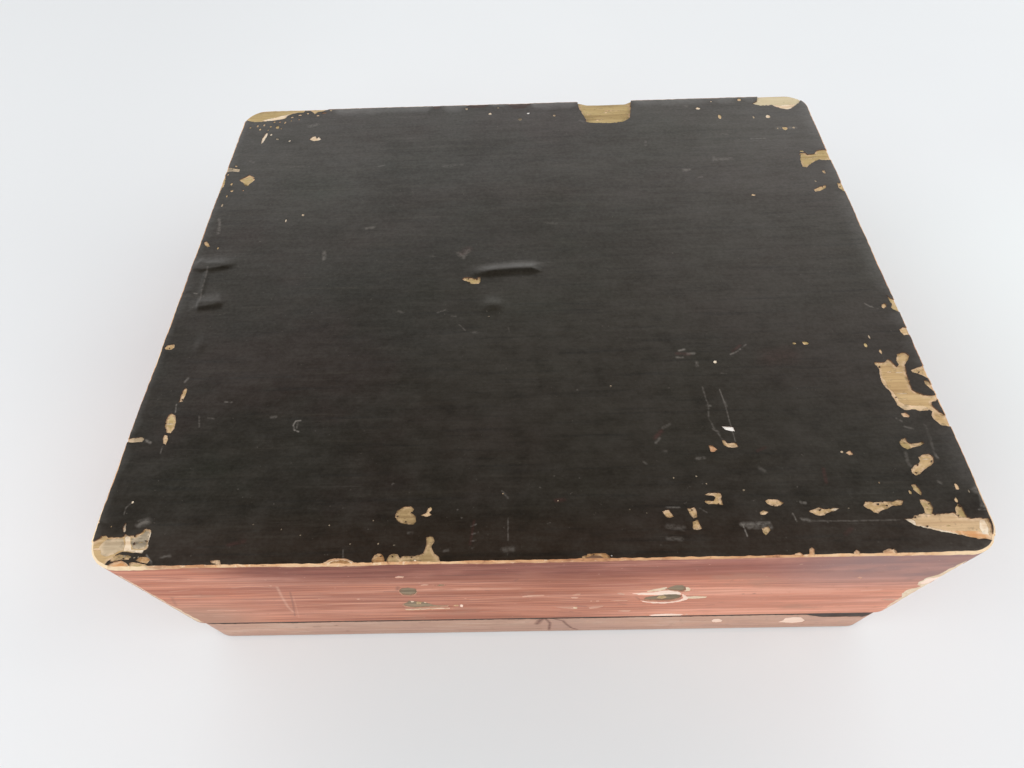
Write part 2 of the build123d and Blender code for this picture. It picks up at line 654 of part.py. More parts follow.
with BuildPart() as disc_hub:
    with Locations((*disc_c, hub_z)):
        Cylinder(hub_r, disc_z - hub_z, align=LOW)
    with Locations((*disc_c, hub_z)):
        Cylinder(neck_r, disc_z - hub_z, align=LOW, mode=Mode.SUBTRACT)
    with Locations((disc_c[0], disc_c[1] + 11.0, disc_z), (disc_c[0], disc_c[1] - 11.0, disc_z)):
        Cylinder(1.5, 2.6, align=LOW)
save(disc_hub, "disc_hub")

with BuildPart() as tune_disc:
    with BuildSketch(Plane.XY.offset(disc_z)):
        with Locations(disc_c):
            Circle(disc_r)
            Circle(neck_r + run, mode=Mode.SUBTRACT)
        with Locations((disc_c[0], disc_c[1] + 11.0), (disc_c[0], disc_c[1] - 11.0)):
            Circle(1.6, mode=Mode.SUBTRACT)
    extrude(amount=disc_t)
save(tune_disc, "tune_disc")

# ---------------------------------------------------------------- train
second_phase = third_dir
second_z, second_t = 39.0, 2.0
bridge_z, bridge_t = 51.0, 2.0

with BuildPart() as second_arbor:
    with Locations((*second_c, motor_z)):
        Cylinder(1.0, motor_t + 0.3, align=LOW)
    with Locations((*second_c, motor_top + 0.3)):
        Cylinder(second_arbor_r, bridge_z - 0.3 - motor_top - 0.3, align=LOW)
    with BuildSketch(Plane.XY.offset(drum_top - 0.5)):
        with BuildLine():
            Polyline(*gear_outline(second_c, second_pinion_teeth, gear_m,
                                   mesh_phase(great_phase, great_teeth, second_dir,
                                              second_pinion_teeth)), close=True)
        make_face()
    extrude(amount=great_t + 1.0)
    with Locations((*second_c, bridge_z - 0.3)):
        Cylinder(1.0, bridge_t + 0.3, align=LOW)
save(second_arbor, "second_arbor")

with BuildPart() as second_wheel:
    with BuildSketch(Plane.XY.offset(second_z)):
        with BuildLine():
            Polyline(*gear_outline(second_c, second_teeth, train_m, second_phase, thin=0.18), close=True)
        make_face()
        with Locations(second_c):
            Circle(second_arbor_r, mode=Mode.SUBTRACT)
        with Locations(*[polar(second_c, 10.5, 60.0 * k) for k in range(6)]):
            Circle(3.9, mode=Mode.SUBTRACT)
    extrude(amount=second_t)
    with Locations((*second_c, second_z + second_t)):
        Cylinder(4.0, 2.0, align=LOW)
        Cylinder(second_arbor_r, 2.0, align=LOW, mode=Mode.SUBTRACT)
save(second_wheel, "second_wheel")

third_r = 1.8

with BuildPart() as third_arbor:
    with Locations((*third_c, bed_z)):
        Cylinder(1.0, bed_t + 0.3, align=LOW)
    with Locations((*third_c, bed_top + 0.3)):
        Cylinder(third_r, bridge_z - 0.3 - bed_top - 0.3, align=LOW)
    with BuildSketch(Plane.XY.offset(second_z - 0.5)):
        with BuildLine():
            Polyline(*gear_outline(third_c, third_pinion_teeth, train_m,
                                   mesh_phase(second_phase, second_teeth, third_dir,
                                              third_pinion_teeth), thin=0.18), close=True)
        make_face()
    extrude(amount=second_t + 1.0)
    with Locations((*third_c, bridge_z - 0.3)):
        Cylinder(1.0, bridge_t + 0.3, align=LOW)
save(third_arbor, "third_arbor")

worm_wheel_t = 1.6

with BuildPart() as worm_wheel:
    with BuildSketch(Plane.XY.offset(worm_z - worm_wheel_t / 2)):
        with BuildLine():
            Polyline(*gear_outline(third_c, worm_teeth, train_m, 180.0, thin=0.45, add=0.8, ded=1.2),
                     close=True)
        make_face()
        with Locations(third_c):
            Circle(third_r, mode=Mode.SUBTRACT)
    extrude(amount=worm_wheel_t)
save(worm_wheel, "worm_wheel")

with BuildPart() as train_bridge:
    with BuildSketch(Plane.XY.offset(bridge_z)):
        Polygon(*bar_outline(bridge_foot_a, second_c, 8.0), align=None)
        Polygon(*bar_outline(second_c, third_c, 8.0), align=None)
        Polygon(*bar_outline(third_c, bridge_foot_b, 8.0), align=None)
        with Locations(bridge_foot_a, second_c, third_c, bridge_foot_b):
            Circle(4.6)
        with Locations(second_c, third_c):
            Circle(1.0 + run, mode=Mode.SUBTRACT)
    extrude(amount=bridge_t)
    with Locations((*bridge_foot_a, bed_top), (*bridge_foot_b, bed_top)):
        Cylinder(3.0, bridge_z - bed_top, align=LOW)
    with Locations((*bridge_foot_a, bed_top), (*bridge_foot_b, bed_top)):
        Cylinder(4.4, 2.0, align=LOW)
save(train_bridge, "train_bridge")

# ---------------------------------------------------------------- governor
gov_y0, gov_y1 = 8.0, 79.0
gov_wall = 2.5
worm_tip, worm_root = 3.4, 1.9
worm_turns = 7
worm_len = worm_turns * worm_pitch

with BuildPart() as governor_worm:
    with Locations((worm_x, gov_y0 + 0.2, worm_z)):
        Cylinder(0.9, gov_y1 - gov_y0 - 0.4, rotation=ALONG_Y, align=LOW)
    with Locations((worm_x, gov_y0 + gov_wall + 0.3, worm_z)):
        Cylinder(1.5, gov_y1 - gov_y0 - 2 * gov_wall - 0.6, rotation=ALONG_Y, align=LOW)
    with Locations((worm_x, third_c[1] - worm_len / 2 - 1.5, worm_z)):
        Cylinder(worm_root, worm_len + 3.0, rotation=ALONG_Y, align=LOW)
    with Locations((worm_x, 69.0, worm_z)):
        Cylinder(5.0, 3.0, rotation=ALONG_Y, align=LOW)
    start = Edge.make_helix(worm_pitch, worm_len, worm_r, (worm_x, 0, worm_z), (0, 1, 0)) @ 0
    start_angle = math.degrees(math.atan2(start.X - worm_x, start.Z - worm_z))
    turn_to_wheel = ((90.0 - start_angle) % 360.0) / 360.0
    thread_y = third_c[1] - worm_len / 2 - worm_pitch * turn_to_wheel
    if worm_turns % 2 == 0:
        thread_y += worm_pitch / 2
    with BuildLine() as thread:
        Helix(worm_pitch, worm_len, worm_r, center=(worm_x, thread_y, worm_z), direction=(0, 1, 0))
    begin = thread.line @ 0
    out = (begin.X - worm_x, 0, begin.Z - worm_z)
    tang = thread.line % 0
    with BuildSketch(Plane(origin=begin, x_dir=out, z_dir=tang)):
        Polygon((worm_root - 0.15 - worm_r, -0.74), (worm_tip - worm_r, -0.2),
                (worm_tip - worm_r, 0.2), (worm_root - 0.15 - worm_r, 0.74), align=None)
    sweep(path=thread.line, is_frenet=True)
save(governor_worm, "governor_worm")

with BuildPart() as governor_fan:
    with Locations((worm_x, 48.0, worm_z)):
        Cylinder(3.0, 15.0, rotation=ALONG_Y, align=LOW)
    with Locations((worm_x, 55.5, worm_z)):
        Box(19.0, 15.0, 0.6)
    with Locations((worm_x, 48.0, worm_z)):
        Cylinder(1.5, 15.0, rotation=ALONG_Y, align=LOW, mode=Mode.SUBTRACT)
save(governor_fan, "governor_fan")

with BuildPart() as governor_bracket:
    with Locations((worm_x - 2.2, (gov_y0 + gov_y1) / 2, bed_top)):
        Box(9.0, gov_y1 - gov_y0, 1.2, align=LOW)
    with Locations((worm_x - 2.2, gov_y0 + gov_wall / 2, bed_top),
                   (worm_x - 2.2, gov_y1 - gov_wall / 2, bed_top)):
        Box(9.0, gov_wall, 14.5, align=LOW)
    fillet(governor_bracket.edges().filter_by(Axis.Y).group_by(Axis.Z)[-1], 1.5)
    with Locations((worm_x, gov_y0 - 1.0, worm_z)):
        Cylinder(0.9 + run, gov_y1 - gov_y0 + 2.0, rotation=ALONG_Y, align=LOW, mode=Mode.SUBTRACT)
save(governor_bracket, "governor_bracket")

# ---------------------------------------------------------------- start and stop lever
lever_z, lever_t = 42.0, 2.0
pad_x = worm_x - 5.2
tab_at = (-112.0, 8.0)

with BuildPart() as stop_lever:
    with BuildSketch(Plane.XY.offset(lever_z)):
        Polygon(*bar_outline((pad_x - 3.2, 70.5), stop_c, 5.0), align=None)
        Polygon(*bar_outline(stop_c, tab_at, 6.0), align=None)
        with Locations(stop_c):
            Circle(6.5)
        with Locations(tab_at):
            Circle(5.0)
        with Locations((pad_x - 3.2, 70.5)):
            Rectangle(2.4, 6.0)
        with Locations(stop_c):
            Circle(2.5 + run, mode=Mode.SUBTRACT)
    extrude(amount=lever_t)
    with Locations((pad_x - 3.2, 70.5, lever_z)):
        Box(2.4, 6.0, 9.6, align=LOW)
    with Locations((*tab_at, lever_z + lever_t)):
        Cylinder(2.2, 4.0, align=LOW)
    with Locations((*tab_at, lever_z + lever_t + 4.0)):
        Cylinder(4.2, 4.0, align=LOW)
    fillet(stop_lever.edges().group_by(Axis.Z)[-1], 1.0)
save(stop_lever, "stop_lever")

with BuildPart() as stop_pad:
    with Locations((pad_x - 1.0, 70.5, 44.4)):
        Box(2.0, 6.0, 6.8, align=LOW)
save(stop_pad, "stop_pad")

with BuildPart() as pivot_posts:
    with Locations((*click_c, bed_z), (*stop_c, bed_z)):
        Cylinder(post_shank_r, bed_t, align=LOW)
    with Locations((*click_c, bed_top)):
        Cylinder(4.0, ratchet_z - 0.3 - bed_top, align=LOW)
    with Locations((*click_c, bed_top)):
        Cylinder(post_shank_r, 9.3, align=LOW)
    with Locations((*click_c, bed_top + 9.3)):
        Cylinder(4.0, 1.6, align=LOW)
    with Locations((*stop_c, bed_top)):
        Cylinder(4.5, lever_z - 0.3 - bed_top, align=LOW)
    with Locations((*stop_c, lever_z - 0.3)):
        Cylinder(2.5, lever_t + 0.6, align=LOW)
    with Locations((*stop_c, lever_z + lever_t + 0.3)):
        Cylinder(4.5, 1.8, align=LOW)
save(pivot_posts, "pivot_posts")

# ---------------------------------------------------------------- comb and star wheels
star_x1 = star_x0 + (star_count - 1) * star_pitch
comb_x0 = star_x0 - star_pitch / 2
comb_x1 = star_x1 + star_pitch / 2
comb_mid = (comb_x0 + comb_x1) / 2
comb_tip_y = -(star_tip_r + 0.4)
comb_z, comb_t = 50.0, 1.2

with BuildPart() as comb:
    with BuildSketch(Plane.XY.offset(comb_z)):
        with Locations((comb_mid, (comb_tip_y - 44.0) / 2)):
            Rectangle(comb_x1 - comb_x0, 44.0 + comb_tip_y)
        with Locations(*[(star_x0 + (k + 0.5) * star_pitch, (comb_tip_y - 30.0) / 2)
                         for k in range(star_count - 1)]):
            Rectangle(0.45, 30.0 + comb_tip_y, mode=Mode.SUBTRACT)
        with Locations(*[(x, comb_screw_y) for x in comb_screw_x]):
            Circle(1.6, mode=Mode.SUBTRACT)
    extrude(amount=comb_t)
save(comb, "comb")

with BuildPart() as comb_bar:
    with BuildSketch(Plane.XY.offset(bed_top)):
        with Locations((comb_mid, -37.0)):
            Rectangle(comb_x1 - comb_x0, 14.0)
        with Locations(*[(x, comb_screw_y) for x in comb_screw_x]):
            Circle(1.6, mode=Mode.SUBTRACT)
    extrude(amount=comb_z - bed_top)
save(comb_bar, "comb_bar")

with BuildPart() as comb_screws:
    slotted_screws([(x, comb_screw_y) for x in comb_screw_x], comb_z + comb_t, 3.0, 1.8, 1.6,
                   comb_z + comb_t - bed_z)
save(comb_screws, "comb_screws")

axle_r = 1.0

with BuildPart() as star_wheels:
    with BuildSketch(Plane.YZ.offset(star_x0 - 0.5)):
        with BuildLine():
            star = []
            for k in range(8):
                star.append(polar((0, star_z), star_tip_r, 45.0 * k + 22.5 - 4.0))
                star.append(polar((0, star_z), star_tip_r, 45.0 * k + 22.5 + 4.0))
                star.append(polar((0, star_z), 2.3, 45.0 * k + 45.0))
            Polyline(*star, close=True)
        make_face()
        with Locations((0, star_z)):
            Circle(axle_r + run, mode=Mode.SUBTRACT)
    extrude(amount=1.0)
    one = star_wheels.part
    with Locations(*[(star_pitch * k, 0, 0) for k in range(1, star_count)]):
        add(one)
save(star_wheels, "star_wheels")

gantry_x0, gantry_x1 = 46.0, 110.5
gantry_wall = 2.5

with BuildPart() as star_axle:
    with Locations((gantry_x0, 0, star_z)):
        Cylinder(axle_r, gantry_x1 - gantry_x0, rotation=ALONG_X, align=LOW)
save(star_axle, "star_axle")

with BuildPart() as star_gantry:
    with Locations(((gantry_x0 + gantry_x1) / 2, 0, bed_top)):
        Box(gantry_x1 - gantry_x0, 12.0, 2.5, align=LOW)
    with Locations((gantry_x0 + gantry_wall / 2, 0, bed_top), (gantry_x1 - gantry_wall / 2, 0, bed_top)):
        Box(gantry_wall, 10.0, 17.0, align=LOW)
    fillet(star_gantry.edges().filter_by(Axis.X).group_by(Axis.Z)[-1], 3.0)
    with Locations((gantry_x0 - 1, 0, star_z)):
        Cylinder(axle_r, gantry_x1 - gantry_x0 + 2, rotation=ALONG_X, align=LOW, mode=Mode.SUBTRACT)
save(star_gantry, "star_gantry")

# ---------------------------------------------------------------- pressure bar
bar_z, bar_t = 61.0, 4.0
roller_r = 2.4
roller_z = disc_z + disc_t + 0.1 + roller_r
roller_x = [54.0, 70.0, 86.0, 102.0]

with BuildPart() as pressure_bar:
    with BuildSketch(Plane.XY.offset(bar_z)):
        with Locations(((30.0 + press_c[0]) / 2, 0)):
            Rectangle(press_c[0] - 30.0, 10.0)
        with Locations(press_c):
            Circle(7.5)
        with Locations((30.0, 0)):
            Circle(5.0)
        with Locations(press_c):
            Circle(3.0 + run, mode=Mode.SUBTRACT)
    extrude(amount=bar_t)
    fillet(pressure_bar.edges().group_by(Axis.Z)[-1].filter_by(lambda e: e.radius != 3.0 + run if e.geom_type == GeomType.CIRCLE else True), 1.0)
    with Locations((47.0, 0, 56.6), (109.0, 0, 56.6)):
        Box(2.0, 7.0, bar_z - 56.6, align=LOW)
    with Locations((40.0, 0, roller_z)):
        Cylinder(0.8, 76.0, rotation=ALONG_X, align=LOW, mode=Mode.SUBTRACT)
save(pressure_bar, "pressure_bar")

with BuildPart() as roller_axle:
    with Locations((46.0, 0, roller_z)):
        Cylinder(0.8, 64.0, rotation=ALONG_X, align=LOW)
save(roller_axle, "roller_axle")

with BuildPart() as pressure_rollers:
    with Locations(*[(x, 0, roller_z) for x in roller_x]):
        Cylinder(roller_r, 5.0, rotation=ALONG_X)
    with Locations(*[(x, 0, roller_z) for x in roller_x]):
        Cylinder(0.8 + run, 5.0, rotation=ALONG_X, mode=Mode.SUBTRACT)
save(pressure_rollers, "pressure_rollers")

with BuildPart() as pressure_post:
    with Locations((*press_c, bed_z)):
        Cylinder(post_shank_r, bed_t, align=LOW)
    with Locations((*press_c, bed_top)):
        Cylinder(5.0, bar_z - 0.3 - bed_top, align=LOW)
    with Locations((*press_c, bar_z - 0.3)):
        Cylinder(3.0, bar_t + 0.6, align=LOW)
    with Locations((*press_c, bar_z + bar_t + 0.3)):
        Cylinder(5.0, 2.2, align=LOW)
    fillet(pressure_post.edges().group_by(Axis.Z)[-1], 0.8)
save(pressure_post, "pressure_post")
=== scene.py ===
import json
import math
import random

import bpy
import numpy as np
from mathutils import Matrix, Vector
from mathutils import noise as mn
from mathutils.geometry import delaunay_2d_cdt


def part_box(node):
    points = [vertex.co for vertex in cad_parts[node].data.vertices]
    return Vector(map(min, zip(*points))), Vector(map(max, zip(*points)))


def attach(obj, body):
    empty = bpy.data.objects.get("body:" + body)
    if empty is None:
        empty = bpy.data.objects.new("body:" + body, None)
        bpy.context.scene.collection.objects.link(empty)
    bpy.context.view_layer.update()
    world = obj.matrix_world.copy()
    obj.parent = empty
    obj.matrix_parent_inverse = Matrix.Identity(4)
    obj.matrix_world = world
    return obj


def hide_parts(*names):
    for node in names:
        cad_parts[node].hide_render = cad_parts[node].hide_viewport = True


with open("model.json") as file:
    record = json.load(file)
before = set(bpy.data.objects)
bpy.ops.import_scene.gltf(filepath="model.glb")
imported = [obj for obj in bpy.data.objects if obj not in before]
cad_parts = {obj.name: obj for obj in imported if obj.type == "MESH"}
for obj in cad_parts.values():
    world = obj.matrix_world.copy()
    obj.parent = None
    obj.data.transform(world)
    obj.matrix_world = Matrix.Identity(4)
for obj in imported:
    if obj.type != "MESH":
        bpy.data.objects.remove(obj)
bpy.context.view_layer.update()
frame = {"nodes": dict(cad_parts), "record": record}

# ------------------------------------------------------------------ camera, lengths in mm
LENS_PX = 642.303
EYE = np.array([-3.8357, -180.8543, 285.6154])
RIGHT = np.array([0.9996317, -0.0095189, -0.0254137])
AHEAD = np.array([-0.0158290, 0.5561465, -0.8309335])
UP = np.array([0.0220433, 0.8310298, 0.5557910])

HALF_W, HALF_D, HEIGHT = 140.0, 117.5, 95.0
CORNER = 10.0
PANEL_Z = 87.0
TOP_Z = 94.72           # height of the worn top surface near its edges
FRONT_Y = -117.5
BASE_Y = -116.5


def beam(u, v):
    return RIGHT * ((u - 512.0) / LENS_PX) + AHEAD + UP * ((384.0 - v) / LENS_PX)


def on_top(u, v):
    d = beam(u, v)
    p = EYE + d * ((TOP_Z - EYE[2]) / d[2])
    return (float(p[0]), float(p[1]))


def on_front(u, v, y=FRONT_Y):
    d = beam(u, v)
    p = EYE + d * ((y - EYE[1]) / d[1])
    return (float(p[0]), float(p[2]))


def on_base(u, v):
    return on_front(u, v, BASE_Y)


def smooth(a, b, x):
    t = min(1.0, max(0.0, (x - a) / (b - a)))
    return t * t * (3 - 2 * t)


def wob(x, y, z, seed=0.0):
    return mn.noise(Vector((x + seed * 17.31, y - seed * 9.17, z + seed * 3.7)))


# ------------------------------------------------------------------ material building
class Look:
    """A node material around one Principled shader. Lengths are in mm."""

    def __init__(self, name, **sockets):
        self.m = bpy.data.materials.new(name)
        self.m.use_nodes = True
        self.n = self.m.node_tree.nodes
        self.l = self.m.node_tree.links
        self.n.clear()
        out = self.n.new("ShaderNodeOutputMaterial")
        self.b = self.n.new("ShaderNodeBsdfPrincipled")
        self.l.new(self.b.outputs[0], out.inputs[0])
        self.co = self.n.new("ShaderNodeTexCoord").outputs["Object"]
        for k, v in sockets.items():
            self.set(k.replace("_", " "), v)

    def put(self, socket, value):
        if isinstance(value, bpy.types.NodeSocket):
            self.l.new(value, socket)
        elif isinstance(value, (tuple, list)) and len(value) == 3 and len(socket.default_value) == 4:
            socket.default_value = (*value, 1.0)
        else:
            socket.default_value = value

    def set(self, name, value):
        self.put(self.b.inputs[name], value)

    def where(self, freq, turn=(0, 0, 0), shift=(0, 0, 0)):
        n = self.n.new("ShaderNodeMapping")
        self.l.new(self.co, n.inputs["Vector"])
        n.inputs["Scale"].default_value = [1000.0 * f for f in freq]
        n.inputs["Rotation"].default_value = [math.radians(a) for a in turn]
        n.inputs["Location"].default_value = shift
        return n.outputs[0]

    def noise(self, freq, detail=3.0, rough=0.55, warp=0.0, shift=(0, 0, 0), turn=(0, 0, 0)):
        n = self.n.new("ShaderNodeTexNoise")
        self.l.new(self.where(freq, turn, shift), n.inputs["Vector"])
        n.inputs["Scale"].default_value = 1.0
        n.inputs["Detail"].default_value = detail
        n.inputs["Roughness"].default_value = rough
        n.inputs["Distortion"].default_value = warp
        return n.outputs["Fac"]

    def cells(self, freq, shift=(0, 0, 0), feature="F1"):
        n = self.n.new("ShaderNodeTexVoronoi")
        n.feature = feature
        self.l.new(self.where(freq, (0, 0, 0), shift), n.inputs["Vector"])
        n.inputs["Scale"].default_value = 1.0
        return n.outputs["Distance"]

    def wave(self, freq, axis="Y", warp=2.0, detail=2.0, scale=1.0, shift=(0, 0, 0)):
        n = self.n.new("ShaderNodeTexWave")
        n.bands_direction = axis
        self.l.new(self.where(freq, (0, 0, 0), shift), n.inputs["Vector"])
        n.inputs["Scale"].default_value = 1.0
        n.inputs["Distortion"].default_value = warp
        n.inputs["Detail"].default_value = detail
        n.inputs["Detail Scale"].default_value = scale
        return n.outputs["Fac"]

    def ramp(self, fac, stops):
        n = self.n.new("ShaderNodeValToRGB")
        e = n.color_ramp.elements
        while len(e) < len(stops):
            e.new(0.5)
        for el, (p, c) in zip(e, stops):
            el.position = p
            el.color = (c, c, c, 1.0) if isinstance(c, (int, float)) else (*c, 1.0)
        self.l.new(fac, n.inputs[0])
        return n.outputs[0]

    def calc(self, op, a, b=None, clamp=False):
        n = self.n.new("ShaderNodeMath")
        n.operation = op
        n.use_clamp = clamp
        self.put(n.inputs[0], a)
        if b is not None:
            self.put(n.inputs[1], b)
        return n.outputs[0]

    def mix(self, fac, a, b, blend="MIX"):
        n = self.n.new("ShaderNodeMix")
        n.data_type = "RGBA"
        n.blend_type = blend
        self.put(n.inputs[0], fac)
        self.put(n.inputs[6], a)
        self.put(n.inputs[7], b)
        return n.outputs[2]

    def attr(self, name):
        n = self.n.new("ShaderNodeAttribute")
        n.attribute_name = name
        return n.outputs["Fac"]

    def axis(self, which):
        n = self.n.new("ShaderNodeSeparateXYZ")
        self.l.new(self.co, n.inputs[0])
        return n.outputs[which]

    def span(self, value, a, b, lo=0.0, hi=1.0):
        n = self.n.new("ShaderNodeMapRange")
        n.interpolation_type = "SMOOTHSTEP"
        self.put(n.inputs["Value"], value)
        n.inputs["From Min"].default_value = a
        n.inputs["From Max"].default_value = b
        n.inputs["To Min"].default_value = lo
        n.inputs["To Max"].default_value = hi
        return n.outputs[0]

    def bump(self, height, strength, dist_mm, over=None):
        n = self.n.new("ShaderNodeBump")
        n.inputs["Strength"].default_value = strength
        n.inputs["Distance"].default_value = dist_mm / 1000.0
        self.l.new(height, n.inputs["Height"])
        if over is not None:
            self.l.new(over, n.inputs["Normal"])
        return n.outputs[0]


def black_paint():
    k = Look("black_paint")
    big = k.noise((0.007, 0.010, 0.010), 3, 0.6, shift=(3.1, 1.7, 0))
    hue = k.noise((0.012, 0.015, 0.015), 4, 0.62, shift=(8.2, 4.4, 0))
    grain = k.noise((0.026, 0.62, 0.62), 4, 0.62, 0.25)
    fine = k.noise((0.11, 1.7, 1.7), 3, 0.6, shift=(2, 5, 1))
    mott = k.noise((0.11, 0.15, 0.15), 5, 0.65, shift=(1, 9, 2))
    weave = k.noise((0.75, 0.9, 0.9), 3, 0.6, shift=(6, 2, 3))
    col = k.ramp(big, [(0.34, (0.0076, 0.0063, 0.0035)), (0.5, (0.0098, 0.0071, 0.0037)), (0.68, (0.0130, 0.0091, 0.0054))])
    col = k.mix(k.span(hue, 0.50, 0.66, 0.0, 0.42), col, (0.0185, 0.0088, 0.0064))
    col = k.mix(k.span(hue, 0.46, 0.30, 0.0, 0.65), col, (0.0096, 0.0096, 0.0050))
    # dust haze and painted sheen: the base colour is lifted towards the right back and in a patch left of the middle,
    # standing in for dust and for reflected light alike
    dust_and_sheen = k.calc("MULTIPLY", k.span(k.axis(0), 0.0, 0.125, 0.0, 0.80), k.span(k.axis(1), -0.075, 0.085, 0.0, 1.0))
    col = k.mix(dust_and_sheen, col, (0.0330, 0.0275, 0.0215))
    centre_dust_and_sheen = k.calc("MULTIPLY", k.span(k.axis(0), -0.062, -0.020, 0.0, 0.38), k.calc("MULTIPLY", k.span(k.axis(1), -0.112, -0.062, 0.30, 1.0), k.span(k.axis(1), 0.022, -0.014, 0.0, 1.0)))
    col = k.mix(centre_dust_and_sheen, col, (0.0330, 0.0275, 0.0215))
    col = k.mix(k.span(k.axis(1), -0.098, -0.111, 0.0, 0.60), col, (0.0200, 0.0098, 0.0050))
    col = k.mix(k.span(mott, 0.50, 0.72, 0.0, 0.36), col, (0.0230, 0.0178, 0.0126))
    col = k.mix(k.span(mott, 0.48, 0.28, 0.0, 0.40), col, (0.0056, 0.0044, 0.0030))
    col = k.mix(k.span(grain, 0.52, 0.74, 0.0, 0.50), col, (0.0260, 0.0205, 0.0140))
    col = k.mix(k.span(grain, 0.48, 0.26, 0.0, 0.60), col, (0.0045, 0.0036, 0.0026))
    col = k.mix(k.span(fine, 0.54, 0.72, 0.0, 0.34), col, (0.0250, 0.0200, 0.0145))
    # rubbed places, scratches and dust
    rub = k.attr("scuff")
    rub = k.calc("MULTIPLY", rub, k.span(weave, 0.32, 0.60, 0.15, 1.0), True)
    col = k.mix(rub, col, (0.175, 0.155, 0.135))
    red = k.calc("MULTIPLY", k.attr("dirt"), k.span(weave, 0.30, 0.62, 0.35, 1.0), True)
    col = k.mix(red, col, (0.062, 0.017, 0.015))
    dust = k.span(k.noise((0.8, 0.8, 0.8), 2, 0.5, shift=(4, 4, 4)), 0.715, 0.80, 0.0, 0.5)
    col = k.mix(dust, col, (0.115, 0.10, 0.085))
    hair = k.span(k.noise((0.03, 2.0, 2.0), 2, 0.5, turn=(0, 0, 23), shift=(6, 1, 0)), 0.73, 0.78, 0.0, 0.25)
    col = k.mix(hair, col, (0.085, 0.076, 0.064))
    k.set("Base Color", col)
    k.set("Specular Tint", k.ramp(hue, [(0.34, (0.955, 0.955, 0.850)), (0.50, (1.0, 0.955, 0.880)), (0.64, (1.0, 0.935, 0.880))]))
    sheen = k.calc("ADD", k.span(weave, 0.30, 0.70, 0.40, 0.54), k.span(k.noise((0.05, 0.42, 0.42), 4, 0.65, shift=(5, 8, 3)), 0.32, 0.68, -0.045, 0.045))
    sheen = k.calc("SUBTRACT", sheen, k.span(k.axis(1), -0.008, 0.034, 0.0, 0.030))
    k.set("Specular IOR Level", k.calc("ADD", sheen, k.span(k.noise((0.042, 0.050, 0.050), 5, 0.66, shift=(2, 2, 6)), 0.34, 0.66, -0.055, 0.06)))
    rough = k.span(mott, 0.3, 0.7, 0.29, 0.40)
    k.set("Roughness", k.calc("ADD", rough, k.calc("MULTIPLY", rub, 0.2), True))
    h = k.calc("ADD", k.calc("MULTIPLY", grain, 0.6), k.calc("MULTIPLY", fine, 0.3))
    nb = k.bump(h, 0.21, 0.10)
    nb = k.bump(weave, 0.20, 0.10, nb)
    k.set("Normal", k.bump(mott, 0.020, 0.30, nb))
    return k.m


